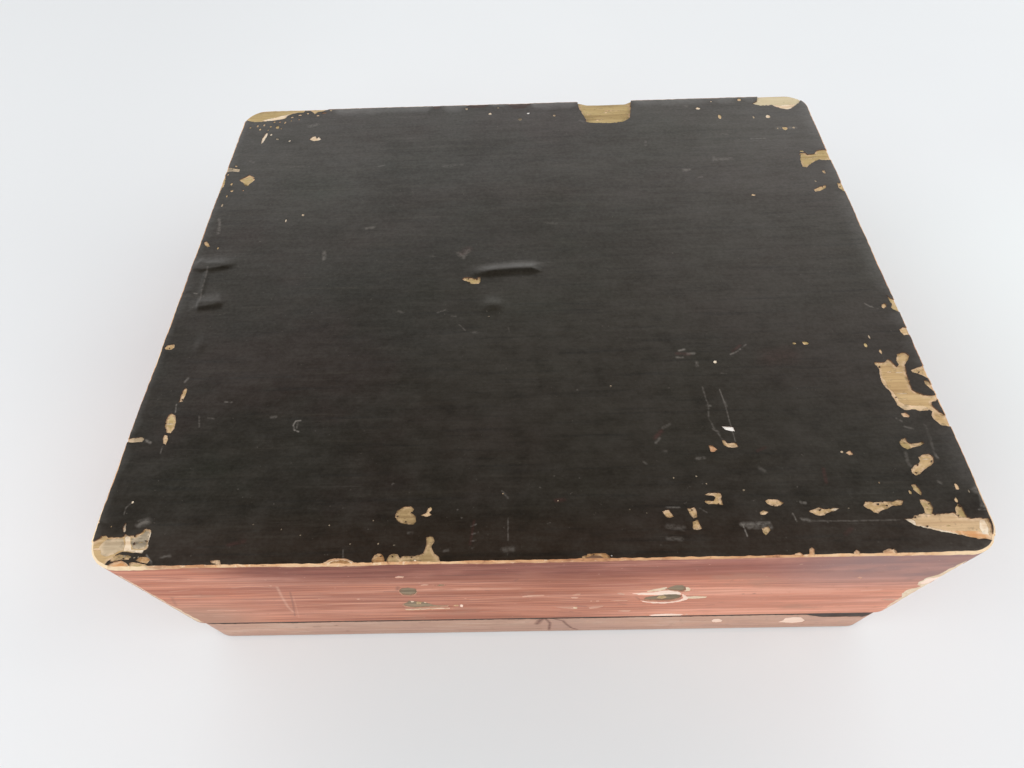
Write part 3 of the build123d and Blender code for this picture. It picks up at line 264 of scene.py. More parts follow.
def pink_stain(name, light=1.0, beige=0.0, lines=1.0, top=1.0):
    """Faded red stain on a softwood board, grain along the board."""
    k = Look(name, Specular_IOR_Level=0.28)
    x, z = k.axis(0), k.axis(2)
    face = k.span(k.axis(1), -0.1080, -0.1162, 0.30, 1.0)
    c = lambda r, g, b: (r * light, g * light, b * light)
    wide = k.noise((0.006, 0.006, 0.085), 3, 0.6, 0.3, shift=(0, 0, 2))
    ring = k.noise((0.0042, 0.0042, 0.115), 2, 0.5, 0.25, shift=(5, 3, 0))
    ring2 = k.noise((0.0055, 0.0055, 0.21), 2, 0.5, 0.2, shift=(1, 6, 3))
    thin = k.noise((0.010, 0.010, 0.95), 4, 0.62, 0.35, shift=(2, 2, 7))
    fine = k.noise((0.07, 0.07, 2.6), 3, 0.6, shift=(1, 7, 3))
    mott = k.noise((0.030, 0.030, 0.075), 4, 0.62, shift=(9, 2, 4))
    grit = k.noise((0.35, 0.35, 0.5), 4, 0.65, shift=(4, 1, 4))
    band = k.noise((0.0075, 0.0075, 0.165), 2, 0.5, 0.25, shift=(7, 1, 5))
    col = k.ramp(wide, [(0.30, c(0.470, 0.172, 0.100)), (0.52, c(0.555, 0.220, 0.135)), (0.72, c(0.625, 0.280, 0.185))])
    col = k.mix(k.span(band, 0.51, 0.38, 0.0, 0.80 * lines), col, c(0.345, 0.108, 0.062))
    col = k.mix(k.span(band, 0.53, 0.65, 0.0, 0.72 * lines), col, c(0.700, 0.345, 0.240))
    # growth rings, drawn out along the board
    for n, w, a in ((ring, 0.026, 1.0), (ring2, 0.022, 0.75)):
        for at in (0.36, 0.43, 0.50, 0.57, 0.64):
            line = k.calc("SUBTRACT", 1.0, k.calc("DIVIDE", k.calc("ABSOLUTE", k.calc("SUBTRACT", n, at)), w), True)
            col = k.mix(k.calc("MULTIPLY", line, a * lines * 0.60), col, c(0.290, 0.088, 0.048))
    col = k.mix(k.span(thin, 0.47, 0.30, 0.0, 0.43 * lines), col, c(0.300, 0.100, 0.058))
    col = k.mix(k.span(thin, 0.55, 0.70, 0.0, 0.45 * lines), col, c(0.740, 0.390, 0.270))
    # greyed, handled stain towards the top of the board
    high = k.span(z, 0.069, 0.085, 0.0, top)
    mid = k.calc("MULTIPLY", k.span(x, -0.108, -0.084, 0.10, 1.0), k.span(x, 0.105, 0.078, 0.45, 1.0))
    col = k.mix(k.calc("MULTIPLY", k.span(x, 0.005, 0.060, 0.0, 1.0), face), col, (1.37, 1.46, 1.53), "MULTIPLY")
    col = k.mix(k.calc("MULTIPLY", k.span(x, 0.025, 0.075, 0.0, 0.32), face), col, c(0.680, 0.296, 0.200))
    col = k.mix(k.span(x, -0.075, -0.112, 0.0, 1.0), col, (1.17, 1.18, 1.18), "MULTIPLY")
    grime = k.calc("MULTIPLY", k.calc("MULTIPLY", high, mid), k.span(mott, 0.32, 0.56, 0.62, 1.0), True)
    col = k.mix(grime, col, (0.54, 0.46, 0.51), "MULTIPLY")
    far = k.calc("MULTIPLY", k.calc("MULTIPLY", k.span(x, 0.064, 0.104, 0.0, 1.0), face), k.span(z, 0.055, 0.076, 0.0, top))
    col = k.mix(k.calc("MULTIPLY", far, k.span(mott, 0.38, 0.56, 0.66, 0.96), True), col, c(0.280, 0.166, 0.154))
    low = k.calc("MULTIPLY", k.calc("MULTIPLY", k.span(x, -0.096, -0.124, 0.0, 0.72), face), k.span(z, 0.062, 0.038, 0.0, top))
    col = k.mix(low, col, c(0.405, 0.235, 0.165))
    col = k.mix(k.span(mott, 0.58, 0.70, 0.0, 0.45), col, c(0.400, 0.214, 0.150))
    col = k.mix(k.span(grit, 0.58, 0.70, 0.0, 0.22), col, c(0.250, 0.104, 0.066))
    if beige:
        col = k.mix(beige, col, c(0.560, 0.395, 0.300))
        patch = k.noise((0.045, 0.045, 0.22), 4, 0.6, 0.3, shift=(3, 6, 1))
        col = k.mix(k.span(patch, 0.50, 0.66, 0.0, 0.50), col, c(0.440, 0.262, 0.205))
        col = k.mix(k.span(patch, 0.48, 0.32, 0.0, 0.50), col, c(0.640, 0.455, 0.350))
        col = k.mix(k.span(z, 0.010, 0.001, 0.0, 0.35), col, c(0.400, 0.235, 0.190))
        col = k.mix(k.span(grit, 0.55, 0.68, 0.0, 0.35), col, c(0.380, 0.240, 0.175))
    dirt = k.calc("MULTIPLY", k.attr("dirt"), k.span(grit, 0.28, 0.55, 0.55, 1.0), True)
    col = k.mix(dirt, col, c(0.205, 0.085, 0.058))
    worn = k.calc("MULTIPLY", k.attr("scuff"), k.span(fine, 0.34, 0.58, 0.25, 1.0), True)
    col = k.mix(worn, col, c(0.790, 0.530, 0.400))
    speck = k.span(k.noise((0.45, 0.45, 0.9), 2, 0.5, shift=(3, 3, 9)), 0.70, 0.78, 0.0, 0.5)
    col = k.mix(speck, col, c(0.740, 0.480, 0.360))
    k.set("Base Color", col)
    k.set("Roughness", k.span(mott, 0.3, 0.7, 0.50, 0.66))
    h = k.calc("ADD", k.calc("MULTIPLY", thin, 0.9), k.calc("MULTIPLY", fine, 0.5))
    k.set("Normal", k.bump(h, 0.45, 0.18))
    return k.m


def wood(name, dark, mid, pale, rough=0.62, along="x", dirt=0.35, step=1.0, bump=0.35, rim=None, rests=0.0, paint=(0.020, 0.017, 0.012)):
    """Bare softwood with grain along one axis. In a chip, a fresh rim and rests of paint."""
    k = Look(name, Specular_IOR_Level=0.25)
    lo, hi = 0.030 * step, 0.9 * step
    f = {"x": (lo, hi, hi), "y": (hi, lo, hi), "z": (hi, hi, lo)}[along]
    f2 = tuple(v * 2.7 for v in f)
    f3 = tuple(v * 0.22 for v in f)
    grain = k.noise(f, 4, 0.62, 0.3, shift=(2, 4, 6))
    fine = k.noise(f2, 3, 0.6, shift=(5, 1, 2))
    wide = k.noise(f3, 3, 0.55, 0.6, shift=(1, 1, 8))
    blot = k.noise((0.13, 0.13, 0.13), 4, 0.62, shift=(7, 3, 1))
    col = k.ramp(k.calc("ADD", k.calc("MULTIPLY", grain, 0.5), k.calc("MULTIPLY", wide, 0.5)),
                 [(0.34, dark), (0.50, mid), (0.66, pale)])
    col = k.mix(k.span(fine, 0.46, 0.30, 0.0, 0.5), col, dark)
    col = k.mix(k.span(blot, 0.52, 0.70, 0.0, dirt), col, tuple(v * 0.45 for v in mid))
    if rim:
        edge = k.attr("rim")
        spot = k.noise((0.30, 0.30, 0.30), 4, 0.65, shift=(3, 8, 2))
        col = k.mix(k.calc("MULTIPLY", edge, k.span(spot, 0.42, 0.58, 0.0, 0.9), True), col, rim)
        if rests:
            bits = k.calc("ADD", k.noise((0.55, 0.8, 0.8), 4, 0.66, shift=(1, 4, 9)), k.calc("MULTIPLY", edge, 0.07))
            col = k.mix(k.span(bits, 0.60, 0.67, 0.0, rests), col, paint)
    k.set("Base Color", col)
    k.set("Roughness", k.span(blot, 0.3, 0.7, rough - 0.06, rough + 0.1))
    k.set("Normal", k.bump(k.calc("ADD", grain, k.calc("MULTIPLY", fine, 0.5)), bump, 0.22))
    return k.m


def arris_wood():
    """Rubbed edge: pale wood, with rests of dark paint and red stain."""
    k = Look("worn_arris", Specular_IOR_Level=0.3)
    a = k.noise((0.055, 0.055, 0.055), 4, 0.65, shift=(1, 6, 3))
    b = k.noise((0.45, 0.45, 0.45), 3, 0.6, shift=(6, 2, 3))
    col = k.ramp(a, [(0.32, (0.27, 0.105, 0.052)), (0.43, (0.52, 0.255, 0.120)), (0.54, (0.68, 0.390, 0.200)), (0.68, (0.81, 0.57, 0.35))])
    col = k.mix(k.span(b, 0.58, 0.72, 0.0, 0.70), col, (0.26, 0.105, 0.062))
    col = k.mix(k.span(b, 0.42, 0.30, 0.0, 0.6), col, (0.84, 0.66, 0.45))
    ends = k.calc("ADD", k.span(k.axis(0), -0.106, -0.128, 0.0, 1.0), k.span(k.axis(0), 0.114, 0.132, 0.0, 0.8))
    bare = k.calc("MULTIPLY", ends, k.span(k.axis(1), -0.086, -0.106, 0.0, 1.0))
    col = k.mix(k.calc("MULTIPLY", bare, k.span(a, 0.36, 0.50, 0.35, 0.92), True), col, (0.88, 0.70, 0.46))
    k.set("Base Color", col)
    k.set("Roughness", k.span(b, 0.3, 0.7, 0.45, 0.7))
    k.set("Normal", k.bump(b, 0.4, 0.2))
    return k.m


def metal(name, base, dark, pale, rough, metallic=1.0, brush=(0.04, 1.6, 1.6), spots=0.35, tint=None):
    """Old machined metal: fine tool marks, tarnish in patches."""
    k = Look(name, Metallic=metallic)
    line = k.noise(brush, 4, 0.6, shift=(3, 2, 5))
    blot = k.noise((0.075, 0.075, 0.075), 5, 0.65, shift=(2, 8, 4))
    fleck = k.noise((0.8, 0.8, 0.8), 3, 0.6, shift=(5, 5, 1))
    col = k.ramp(blot, [(0.32, dark), (0.50, base), (0.70, pale)])
    col = k.mix(k.span(fleck, 0.62, 0.74, 0.0, spots), col, tint or tuple(v * 0.35 for v in base))
    k.set("Base Color", col)
    r = k.calc("ADD", k.span(line, 0.3, 0.7, rough - 0.07, rough + 0.09), k.span(fleck, 0.6, 0.75, 0.0, 0.2))
    k.set("Roughness", k.calc("ADD", r, k.span(blot, 0.55, 0.35, 0.0, 0.1), True))
    k.set("Normal", k.bump(k.calc("ADD", line, k.calc("MULTIPLY", fleck, 0.3)), 0.18, 0.06))
    return k.m


def disc_metal():
    """Sheet steel with turning marks around the disc centre."""
    k = Look("tune_sheet", Metallic=1.0)
    x = k.calc("SUBTRACT", k.axis(0), 0.024)
    y = k.axis(1)
    r = k.calc("SQRT", k.calc("ADD", k.calc("MULTIPLY", x, x), k.calc("MULTIPLY", y, y)))
    ring = k.n.new("ShaderNodeTexNoise")
    ring.noise_dimensions = "1D"
    k.l.new(k.calc("MULTIPLY", r, 1400.0), ring.inputs["W"])
    ring.inputs["Scale"].default_value = 1.0
    ring.inputs["Detail"].default_value = 4.0
    ring = ring.outputs["Fac"]
    blot = k.noise((0.05, 0.05, 0.05), 5, 0.65, shift=(4, 4, 0))
    rust = k.noise((0.16, 0.16, 0.16), 5, 0.7, shift=(0, 3, 2))
    col = k.ramp(blot, [(0.32, (0.40, 0.36, 0.31)), (0.52, (0.56, 0.53, 0.48)), (0.70, (0.68, 0.65, 0.60))])
    col = k.mix(k.span(ring, 0.52, 0.70, 0.0, 0.25), col, (0.30, 0.27, 0.23))
    col = k.mix(k.span(rust, 0.60, 0.74, 0.0, 0.6), col, (0.22, 0.12, 0.06))
    k.set("Base Color", col)
    k.set("Roughness", k.calc("ADD", k.span(ring, 0.3, 0.7, 0.24, 0.38), k.span(rust, 0.58, 0.72, 0.0, 0.3), True))
    k.set("Normal", k.bump(ring, 0.12, 0.05))
    return k.m


def painted_iron():
    k = Look("bronzed_iron", Specular_IOR_Level=0.5)
    blot = k.noise((0.03, 0.03, 0.03), 5, 0.65)
    cast = k.noise((0.55, 0.55, 0.55), 4, 0.6, shift=(2, 2, 2))
    glint = k.noise((2.4, 2.4, 2.4), 2, 0.5, shift=(7, 1, 2))
    col = k.ramp(blot, [(0.32, (0.20, 0.13, 0.05)), (0.52, (0.25, 0.168, 0.064)), (0.70, (0.30, 0.205, 0.082))])
    col = k.mix(k.span(cast, 0.46, 0.30, 0.0, 0.5), col, (0.075, 0.05, 0.024))
    col = k.mix(k.span(glint, 0.60, 0.74, 0.0, 0.5), col, (0.50, 0.37, 0.17))
    k.set("Base Color", col)
    k.set("Metallic", k.span(glint, 0.45, 0.70, 0.25, 0.75))
    k.set("Roughness", k.span(cast, 0.3, 0.7, 0.42, 0.6))
    k.set("Normal", k.bump(cast, 0.5, 0.25))
    return k.m


def brake_leather():
    k = Look("brake_leather", Specular_IOR_Level=0.3)
    a = k.cells((1.9, 1.9, 1.9))
    b = k.noise((0.5, 0.5, 0.5), 4, 0.6)
    col = k.ramp(b, [(0.3, (0.13, 0.062, 0.03)), (0.7, (0.27, 0.15, 0.08))])
    col = k.mix(k.span(a, 0.35, 0.7, 0.0, 0.5), col, (0.07, 0.035, 0.02))
    k.set("Base Color", col)
    k.set("Roughness", k.span(b, 0.3, 0.7, 0.6, 0.8))
    k.set("Normal", k.bump(a, 0.5, 0.2))
    return k.m


FRESH = (0.78, 0.56, 0.36)
LOOK = {
    "black": black_paint(),
    "pink": pink_stain("red_stain", light=1.02),
    "rail": pink_stain("rail_stain", light=0.965, beige=0.62, lines=0.7, top=0.0),
    "tan": wood("bare_tan", (0.36, 0.220, 0.098), (0.51, 0.340, 0.160), (0.63, 0.45, 0.240), dirt=0.40, rim=FRESH, rests=0.32),
    "pale": wood("bare_pale", (0.47, 0.300, 0.160), (0.62, 0.430, 0.245), (0.74, 0.560, 0.350), dirt=0.45, rim=FRESH, rests=0.28),
    "umber": wood("darkened_wood", (0.21, 0.130, 0.055), (0.35, 0.235, 0.108), (0.46, 0.330, 0.165), dirt=0.40, rim=(0.62, 0.42, 0.24), rests=0.36),
    "sienna": wood("rubbed_brown", (0.20, 0.090, 0.032), (0.37, 0.185, 0.070), (0.54, 0.320, 0.145), dirt=0.40, rim=(0.66, 0.44, 0.24), rests=0.45),
    "olive": wood("bare_olive", (0.30, 0.200, 0.082), (0.440, 0.318, 0.138), (0.54, 0.41, 0.200), dirt=0.35, rim=(0.70, 0.48, 0.29), rests=0.32),
    "cream": wood("fresh_wood", (0.62, 0.42, 0.25), (0.78, 0.60, 0.41), (0.86, 0.73, 0.56), dirt=0.12, rim=(0.86, 0.74, 0.58), rests=0.15),
    "grey": wood("greyed_wood", (0.175, 0.138, 0.092), (0.30, 0.242, 0.168), (0.43, 0.355, 0.255), dirt=0.3, rim=(0.60, 0.46, 0.31), rests=0.22),
    "beige": wood("dusty_wood", (0.33, 0.240, 0.145), (0.47, 0.36, 0.235), (0.59, 0.47, 0.325), dirt=0.3, rim=(0.66, 0.50, 0.33), rests=0.2),
    "brown": wood("stained_wood", (0.085, 0.045, 0.028), (0.15, 0.080, 0.046), (0.24, 0.13, 0.075), dirt=0.3),
    "smudge": wood("thin_paint", (0.030, 0.018, 0.015), (0.052, 0.032, 0.027), (0.090, 0.058, 0.047), dirt=0.4),
    "rust": wood("rubbed_wood", (0.42, 0.19, 0.085), (0.60, 0.34, 0.18), (0.72, 0.48, 0.29), dirt=0.25, rim=FRESH, rests=0.3),
    "orange": wood("fresh_red_wood", (0.46, 0.19, 0.070), (0.64, 0.31, 0.125), (0.76, 0.46, 0.235), dirt=0.15, rim=FRESH, rests=0.15),
    "hole": wood("old_gouge", (0.110, 0.078, 0.046), (0.245, 0.182, 0.112), (0.42, 0.325, 0.215), dirt=0.5, rim=(0.26, 0.15, 0.09), rests=0.0),
    "white": wood("bruised_wood", (0.72, 0.66, 0.60), (0.82, 0.77, 0.71), (0.88, 0.85, 0.81), dirt=0.05),
    "sand": wood("dry_wood", (0.48, 0.385, 0.225), (0.60, 0.50, 0.315), (0.70, 0.60, 0.420), dirt=0.25, rim=(0.78, 0.64, 0.45), rests=0.2),
    "bruise": wood("bruised_rail", (0.88, 0.64, 0.51), (0.96, 0.74, 0.61), (0.99, 0.82, 0.70), dirt=0.04),
    "rose": wood("rubbed_stain", (0.545, 0.27, 0.185), (0.64, 0.36, 0.260), (0.73, 0.47, 0.355), dirt=0.08),
    # painted shadow of the seam under the lid's edge, with some dirt in the gap
    "grime": wood("seam_shadow_and_dirt", (0.030, 0.019, 0.015), (0.055, 0.036, 0.027), (0.105, 0.064, 0.046), dirt=0.4),
    "arris": arris_wood(),
    "inside": wood("inside_wood", (0.27, 0.155, 0.070), (0.41, 0.262, 0.132), (0.52, 0.355, 0.198), dirt=0.35, step=0.7),
    "inside_y": wood("inside_wood_side", (0.27, 0.155, 0.070), (0.41, 0.262, 0.132), (0.52, 0.355, 0.198), along="y", dirt=0.35, step=0.7),
    "brass": metal("wheel_brass", (0.72, 0.50, 0.20), (0.52, 0.33, 0.12), (0.80, 0.60, 0.29), 0.30),
    "old_brass": metal("dull_brass", (0.46, 0.31, 0.13), (0.28, 0.18, 0.075), (0.58, 0.42, 0.20), 0.42, spots=0.5),
    "steel": metal("bright_steel", (0.56, 0.55, 0.54), (0.40, 0.38, 0.36), (0.68, 0.67, 0.66), 0.28, spots=0.35, tint=(0.22, 0.13, 0.08)),
    "dark_steel": metal("blued_steel", (0.12, 0.13, 0.17), (0.07, 0.075, 0.10), (0.19, 0.20, 0.25), 0.32, spots=0.3),
    "iron": painted_iron(),
    "leather": brake_leather(),
    "disc_steel": disc_metal(),
}
MATS = list(LOOK)


# ------------------------------------------------------------------ worn surfaces
def within(poly, pts):
    pts = np.asarray(pts, float).reshape(-1, 2)
    x, y = pts[:, 0], pts[:, 1]
    hit = np.zeros(len(pts), bool)
    n = len(poly)
    for i in range(n):
        x1, y1 = poly[i]
        x2, y2 = poly[(i + 1) % n]
        if y1 == y2:
            continue
        c = (y1 > y) != (y2 > y)
        hit ^= c & (x < (x2 - x1) * (y - y1) / (y2 - y1) + x1)
    return hit


def turned(points):
    """The same outline, counted anticlockwise."""
    area = sum(p[0] * q[1] - q[0] * p[1] for p, q in zip(points, points[1:] + points[:1]))
    return points if area > 0 else points[::-1]


def torn(points, rng, step=0.55, rough=0.11):
    """The outline of a chip with its long runs broken into small irregular ones."""
    points = turned(list(points))
    out = []
    n = len(points)
    size = max(max(p[i] for p in points) - min(p[i] for p in points) for i in (0, 1))
    bite = min(0.30, 0.022 * size)
    rough = rough * min(1.0, 0.25 + 0.05 * size)
    for i in range(n):
        a, b = np.array(points[i]), np.array(points[(i + 1) % n])
        run = float(np.linalg.norm(b - a))
        k = max(1, int(run / step))
        side = np.array([-(b - a)[1], (b - a)[0]]) / (run + 1e-9)
        for j in range(k):
            p = a + (b - a) * (j / k)
            if j:
                p = p + side * rng.gauss(0, rough * min(1.0, run / 1.5))
            p = p + bite * np.array((wob(0.55 * p[0], 0.55 * p[1], 0.0, 8.0), wob(0.55 * p[0], 0.55 * p[1], 5.0, 9.0)))
            out.append((float(p[0]), float(p[1])))
    return out


def gap_to(poly, pts):
    """Distance of each point from an outline."""
    pts = np.asarray(pts, float).reshape(-1, 2)
    best = np.full(len(pts), 1e9)
    for a, b in zip(poly, poly[1:] + poly[:1]):
        a, b = np.array(a), np.array(b)
        d = b - a
        f = np.clip((pts - a) @ d / (float(d @ d) + 1e-12), 0.0, 1.0)
        best = np.minimum(best, np.linalg.norm(pts - a - f[:, None] * d, axis=1))
    return best


def remains(c, rng, paint):
    """Islands of paint and torn fibres inside a chip."""
    pts = c["pts"]
    area = abs(sum(p[0] * q[1] - q[0] * p[1] for p, q in zip(pts, pts[1:] + pts[:1]))) / 2
    out = []
    if area < 7 or c["kind"] not in ("tan", "olive", "rust", "grey", "pale", "umber", "sienna"):
        return out
    a = np.array(pts)
    lo, hi = a.min(0), a.max(0)
    for _ in range(min(16, int(area / 4.0))):
        p = np.array((rng.uniform(lo[0], hi[0]), rng.uniform(lo[1], hi[1])))
        if not within(pts, p)[0] or edge_gap(*p) < 1.4:
            continue
        e = float(gap_to(pts, p)[0])
        if e < 0.9:
            out.append(chip(paint, 0.0, blob(rng, p[0], p[1], rng.uniform(0.3, 0.9), rng.uniform(0.25, 0.6), 7, 0.4, rng.uniform(0, 3))))
        elif e > 1.2:
            kind = rng.choice(["tan", "olive", "beige", "rust"])
            out.append(chip(kind, c["depth"] + 0.05, blob(rng, p[0], p[1], rng.uniform(1.0, min(6.0, 2.2 * e)), rng.uniform(0.3, 0.7), 8, 0.4)))
    return out


def blob(rng, x, y, w, h, n=9, rough=0.28, turn=0.0):
    out = []
    for i in range(n):
        a = 2 * math.pi * i / n
        r = 1 + rng.uniform(-rough, rough)
        px, py = w / 2 * r * math.cos(a), h / 2 * r * math.sin(a)
        out.append((x + px * math.cos(turn) - py * math.sin(turn), y + px * math.sin(turn) + py * math.cos(turn)))
    return out


class Stroke:
    """A soft mark along a line on a surface."""

    def __init__(self, points, radius, amount):
        self.p = [np.array(q, float) for q in points]
        self.r = radius
        self.k = amount

    def over(self, pts):
        best = np.full(len(pts), 1e9)
        for a, b in list(zip(self.p, self.p[1:])) or [(self.p[0], self.p[0] + 1e-6)]:
            d = b - a
            f = np.clip((pts - a) @ d / (float(d @ d) + 1e-12), 0.0, 1.0)
            best = np.minimum(best, np.linalg.norm(pts - a - f[:, None] * d, axis=1))
        x = np.clip((best - 0.25 * self.r) / (0.95 * self.r), 0.0, 1.0)
        return self.k * (1 - x * x * (3 - 2 * x))

    def spots(self):
        out = []
        gap = max(0.35, 0.7 * self.r)
        runs = list(zip(self.p, self.p[1:])) or [(self.p[0], self.p[0] + np.array((0.01, 0)))]
        for a, b in runs:
            d = b - a
            run = float(np.linalg.norm(d)) + 1e-9
            side = np.array((-d[1], d[0])) / run
            for j in range(int(run / gap) + 2):
                p = a + d * min(1.0, j * gap / run)
                for w in (-1.3, -0.7, 0.0, 0.7, 1.3):
                    out.append(tuple(p + side * w * self.r))
        for e in self.p:
            for j in range(10):
                t = 2 * math.pi * j / 10
                q = e + 1.32 * self.r * np.array((math.cos(t), math.sin(t)))
                if min(self.far(q)) > 1.2 * self.r:
                    out.append(tuple(q))
        return out

    def far(self, q):
        for a, b in list(zip(self.p, self.p[1:])) or [(self.p[0], self.p[0] + 1e-6)]:
            d = b - a
            f = min(1.0, max(0.0, float((q - a) @ d) / (float(d @ d) + 1e-12)))
            yield float(np.linalg.norm(q - a - d * f))


def chip(kind, depth, points):
    return {"kind": kind, "depth": depth, "pts": points}


def cut(outline, chips, spots):
    """Triangles over the outline that keep every chip's edge, and the chip each triangle is in."""
    verts = [Vector(p) for p in outline]
    faces = [list(range(len(outline)))]
    for c in chips:
        faces.append(list(range(len(verts), len(verts) + len(c["pts"]))))
        verts += [Vector(p) for p in c["pts"]]
    verts += [Vector(p) for p in spots]
    v, _, f, ov, _, of = delaunay_2d_cdt(verts, [], faces, 0, 1e-5)
    pts = [(p.x, p.y) for p in v]
    tris, owner = [], []
    for t, o in zip(f, of):
        if 0 in o:
            tris.append(tuple(t))
            owner.append(max(o) - 1)
    return pts, tris, owner


class Builder:
    """Collects vertices, faces and the marks painted on the vertices."""

    def __init__(self):
        self.v, self.f, self.m, self.scuff, self.dirt, self.rim = [], [], [], [], [], []

    def vert(self, p, scuff=0.0, dirt=0.0, rim=0.0):
        self.v.append(tuple(float(x) / 1000.0 for x in p))
        self.scuff.append(scuff)
        self.dirt.append(dirt)
        self.rim.append(rim)
        return len(self.v) - 1

    def face(self, ids, kind):
        keep = []
        for i in ids:
            if i not in keep:
                keep.append(i)
        if len(keep) > 2:
            self.f.append(keep)
            self.m.append(kind)

    def done(self, name, node, body, slot, angle=32.0):
        mesh = bpy.data.meshes.new(name)
        mesh.from_pydata(self.v, [], self.f)
        kinds = sorted(set(self.m), key=MATS.index)
        for kd in kinds:
            mesh.materials.append(LOOK[kd])
        mesh.polygons.foreach_set("material_index", [kinds.index(kd) for kd in self.m])
        for label, values in (("scuff", self.scuff), ("dirt", self.dirt), ("rim", self.rim)):
            mesh.attributes.new(label, "FLOAT", "POINT").data.foreach_set("value", values)
        mesh.validate(clean_customdata=False)
        mesh.update()
        mesh.shade_smooth()
        mesh.set_sharp_from_angle(angle=math.radians(angle))
        o = bpy.data.objects.new(name, mesh)
        bpy.context.scene.collection.objects.link(o)
        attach(o, body)
        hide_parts(node)
        return o


def carve(b, pts, tris, owner, chips, place, height, scuffs, dirts, paint, fixed=()):
    """Adds the cut surface, chips sunk below it with upright edges. place(s, t, h) gives the point in mm."""
    fixed = set(fixed)
    depth = [chips[o]["depth"] if o >= 0 else 0.0 for o in owner]
    made = {}
    flat = np.array(pts)
    sc, di = np.zeros(len(pts)), np.zeros(len(pts))
    for k in scuffs:
        sc = np.maximum(sc, k.over(flat))
    for k in dirts:
        di = np.maximum(di, k.over(flat))

    inside = {}
    for t, o, d in zip(tris, owner, depth):
        if o >= 0:
            inside.setdefault(o, set()).update(t)
    rims = {}
    for o, ids in inside.items():
        ids = sorted(ids)
        for i, g in zip(ids, gap_to(chips[o]["pts"], flat[ids])):
            key = (i, chips[o]["depth"])
            rims[key] = max(rims.get(key, 0.0), 1 - smooth(0.15, 1.3, float(g)))

    def at(i, d):
        key = (i, 0.0 if i in fixed else d)
        if key not in made:
            s, t = pts[i]
            h = 0.0 if i in fixed else height(s, t) - d
            if d > 0.08 and i not in fixed:
                h += 0.05 * wob(0.25 * s, 1.4 * t, 0.0, 2.0) + 0.04 * wob(s, 1.1 * t, 4.0, 3.0)
            made[key] = b.vert(place(s, t, h), float(sc[i]), float(di[i]), rims.get(key, 0.0))
        return made[key]

    edges = {}
    for n, (t, o) in enumerate(zip(tris, owner)):
        d = depth[n]
        b.face([at(i, d) for i in t], chips[o]["kind"] if o >= 0 else paint)
        for a, c in ((t[0], t[1]), (t[1], t[2]), (t[2], t[0])):
            edges[(a, c)] = n
    rim = []
    for (a, c), n in edges.items():
        m = edges.get((c, a))
        if m is None:
            rim.append((a, c, depth[n]))
        elif depth[n] > depth[m] + 1e-6:
            kind = paint if depth[n] - depth[m] < 0.2 else ("brown" if paint == "black" else "rose")
            b.face([at(a, depth[m]), at(c, depth[m]), at(c, depth[n]), at(a, depth[n])], kind)
    return rim, at


# ---- sides: the flat faces and the rounded corners of the boards, unrolled
class Side:
    def __init__(self, which, half, away, radius):
        self.half, self.away, self.r = half, away, radius
        self.u = np.array({"front": (1, 0, 0), "right": (0, 1, 0), "back": (-1, 0, 0), "left": (0, -1, 0)}[which], float)
        self.n = np.array({"front": (0, -1, 0), "right": (1, 0, 0), "back": (0, 1, 0), "left": (-1, 0, 0)}[which], float)

    def flat(self, p):
        u, w, z = float(p @ self.u), float(p @ self.n), float(p[2])
        if abs(u) <= self.half + 1e-3:
            return (u, z) if abs(w - self.away) < 4e-3 else None
        a, c = abs(u) - self.half, w - (self.away - self.r)
        if abs(math.hypot(a, c) - self.r) > 6e-3 or c <= 0:
            return None
        return (math.copysign(self.half + self.r * math.atan2(a, c), u), z)

    def place(self, s, t, h):
        h = min(h, 0.0)
        if abs(s) <= self.half:
            u, w = s, self.away + h
        else:
            a = (abs(s) - self.half) / self.r
            u = math.copysign(self.half + (self.r + h) * math.sin(a), s)
            w = self.away - self.r + (self.r + h) * math.cos(a)
        return self.u * u + self.n * w + np.array((0, 0, t))


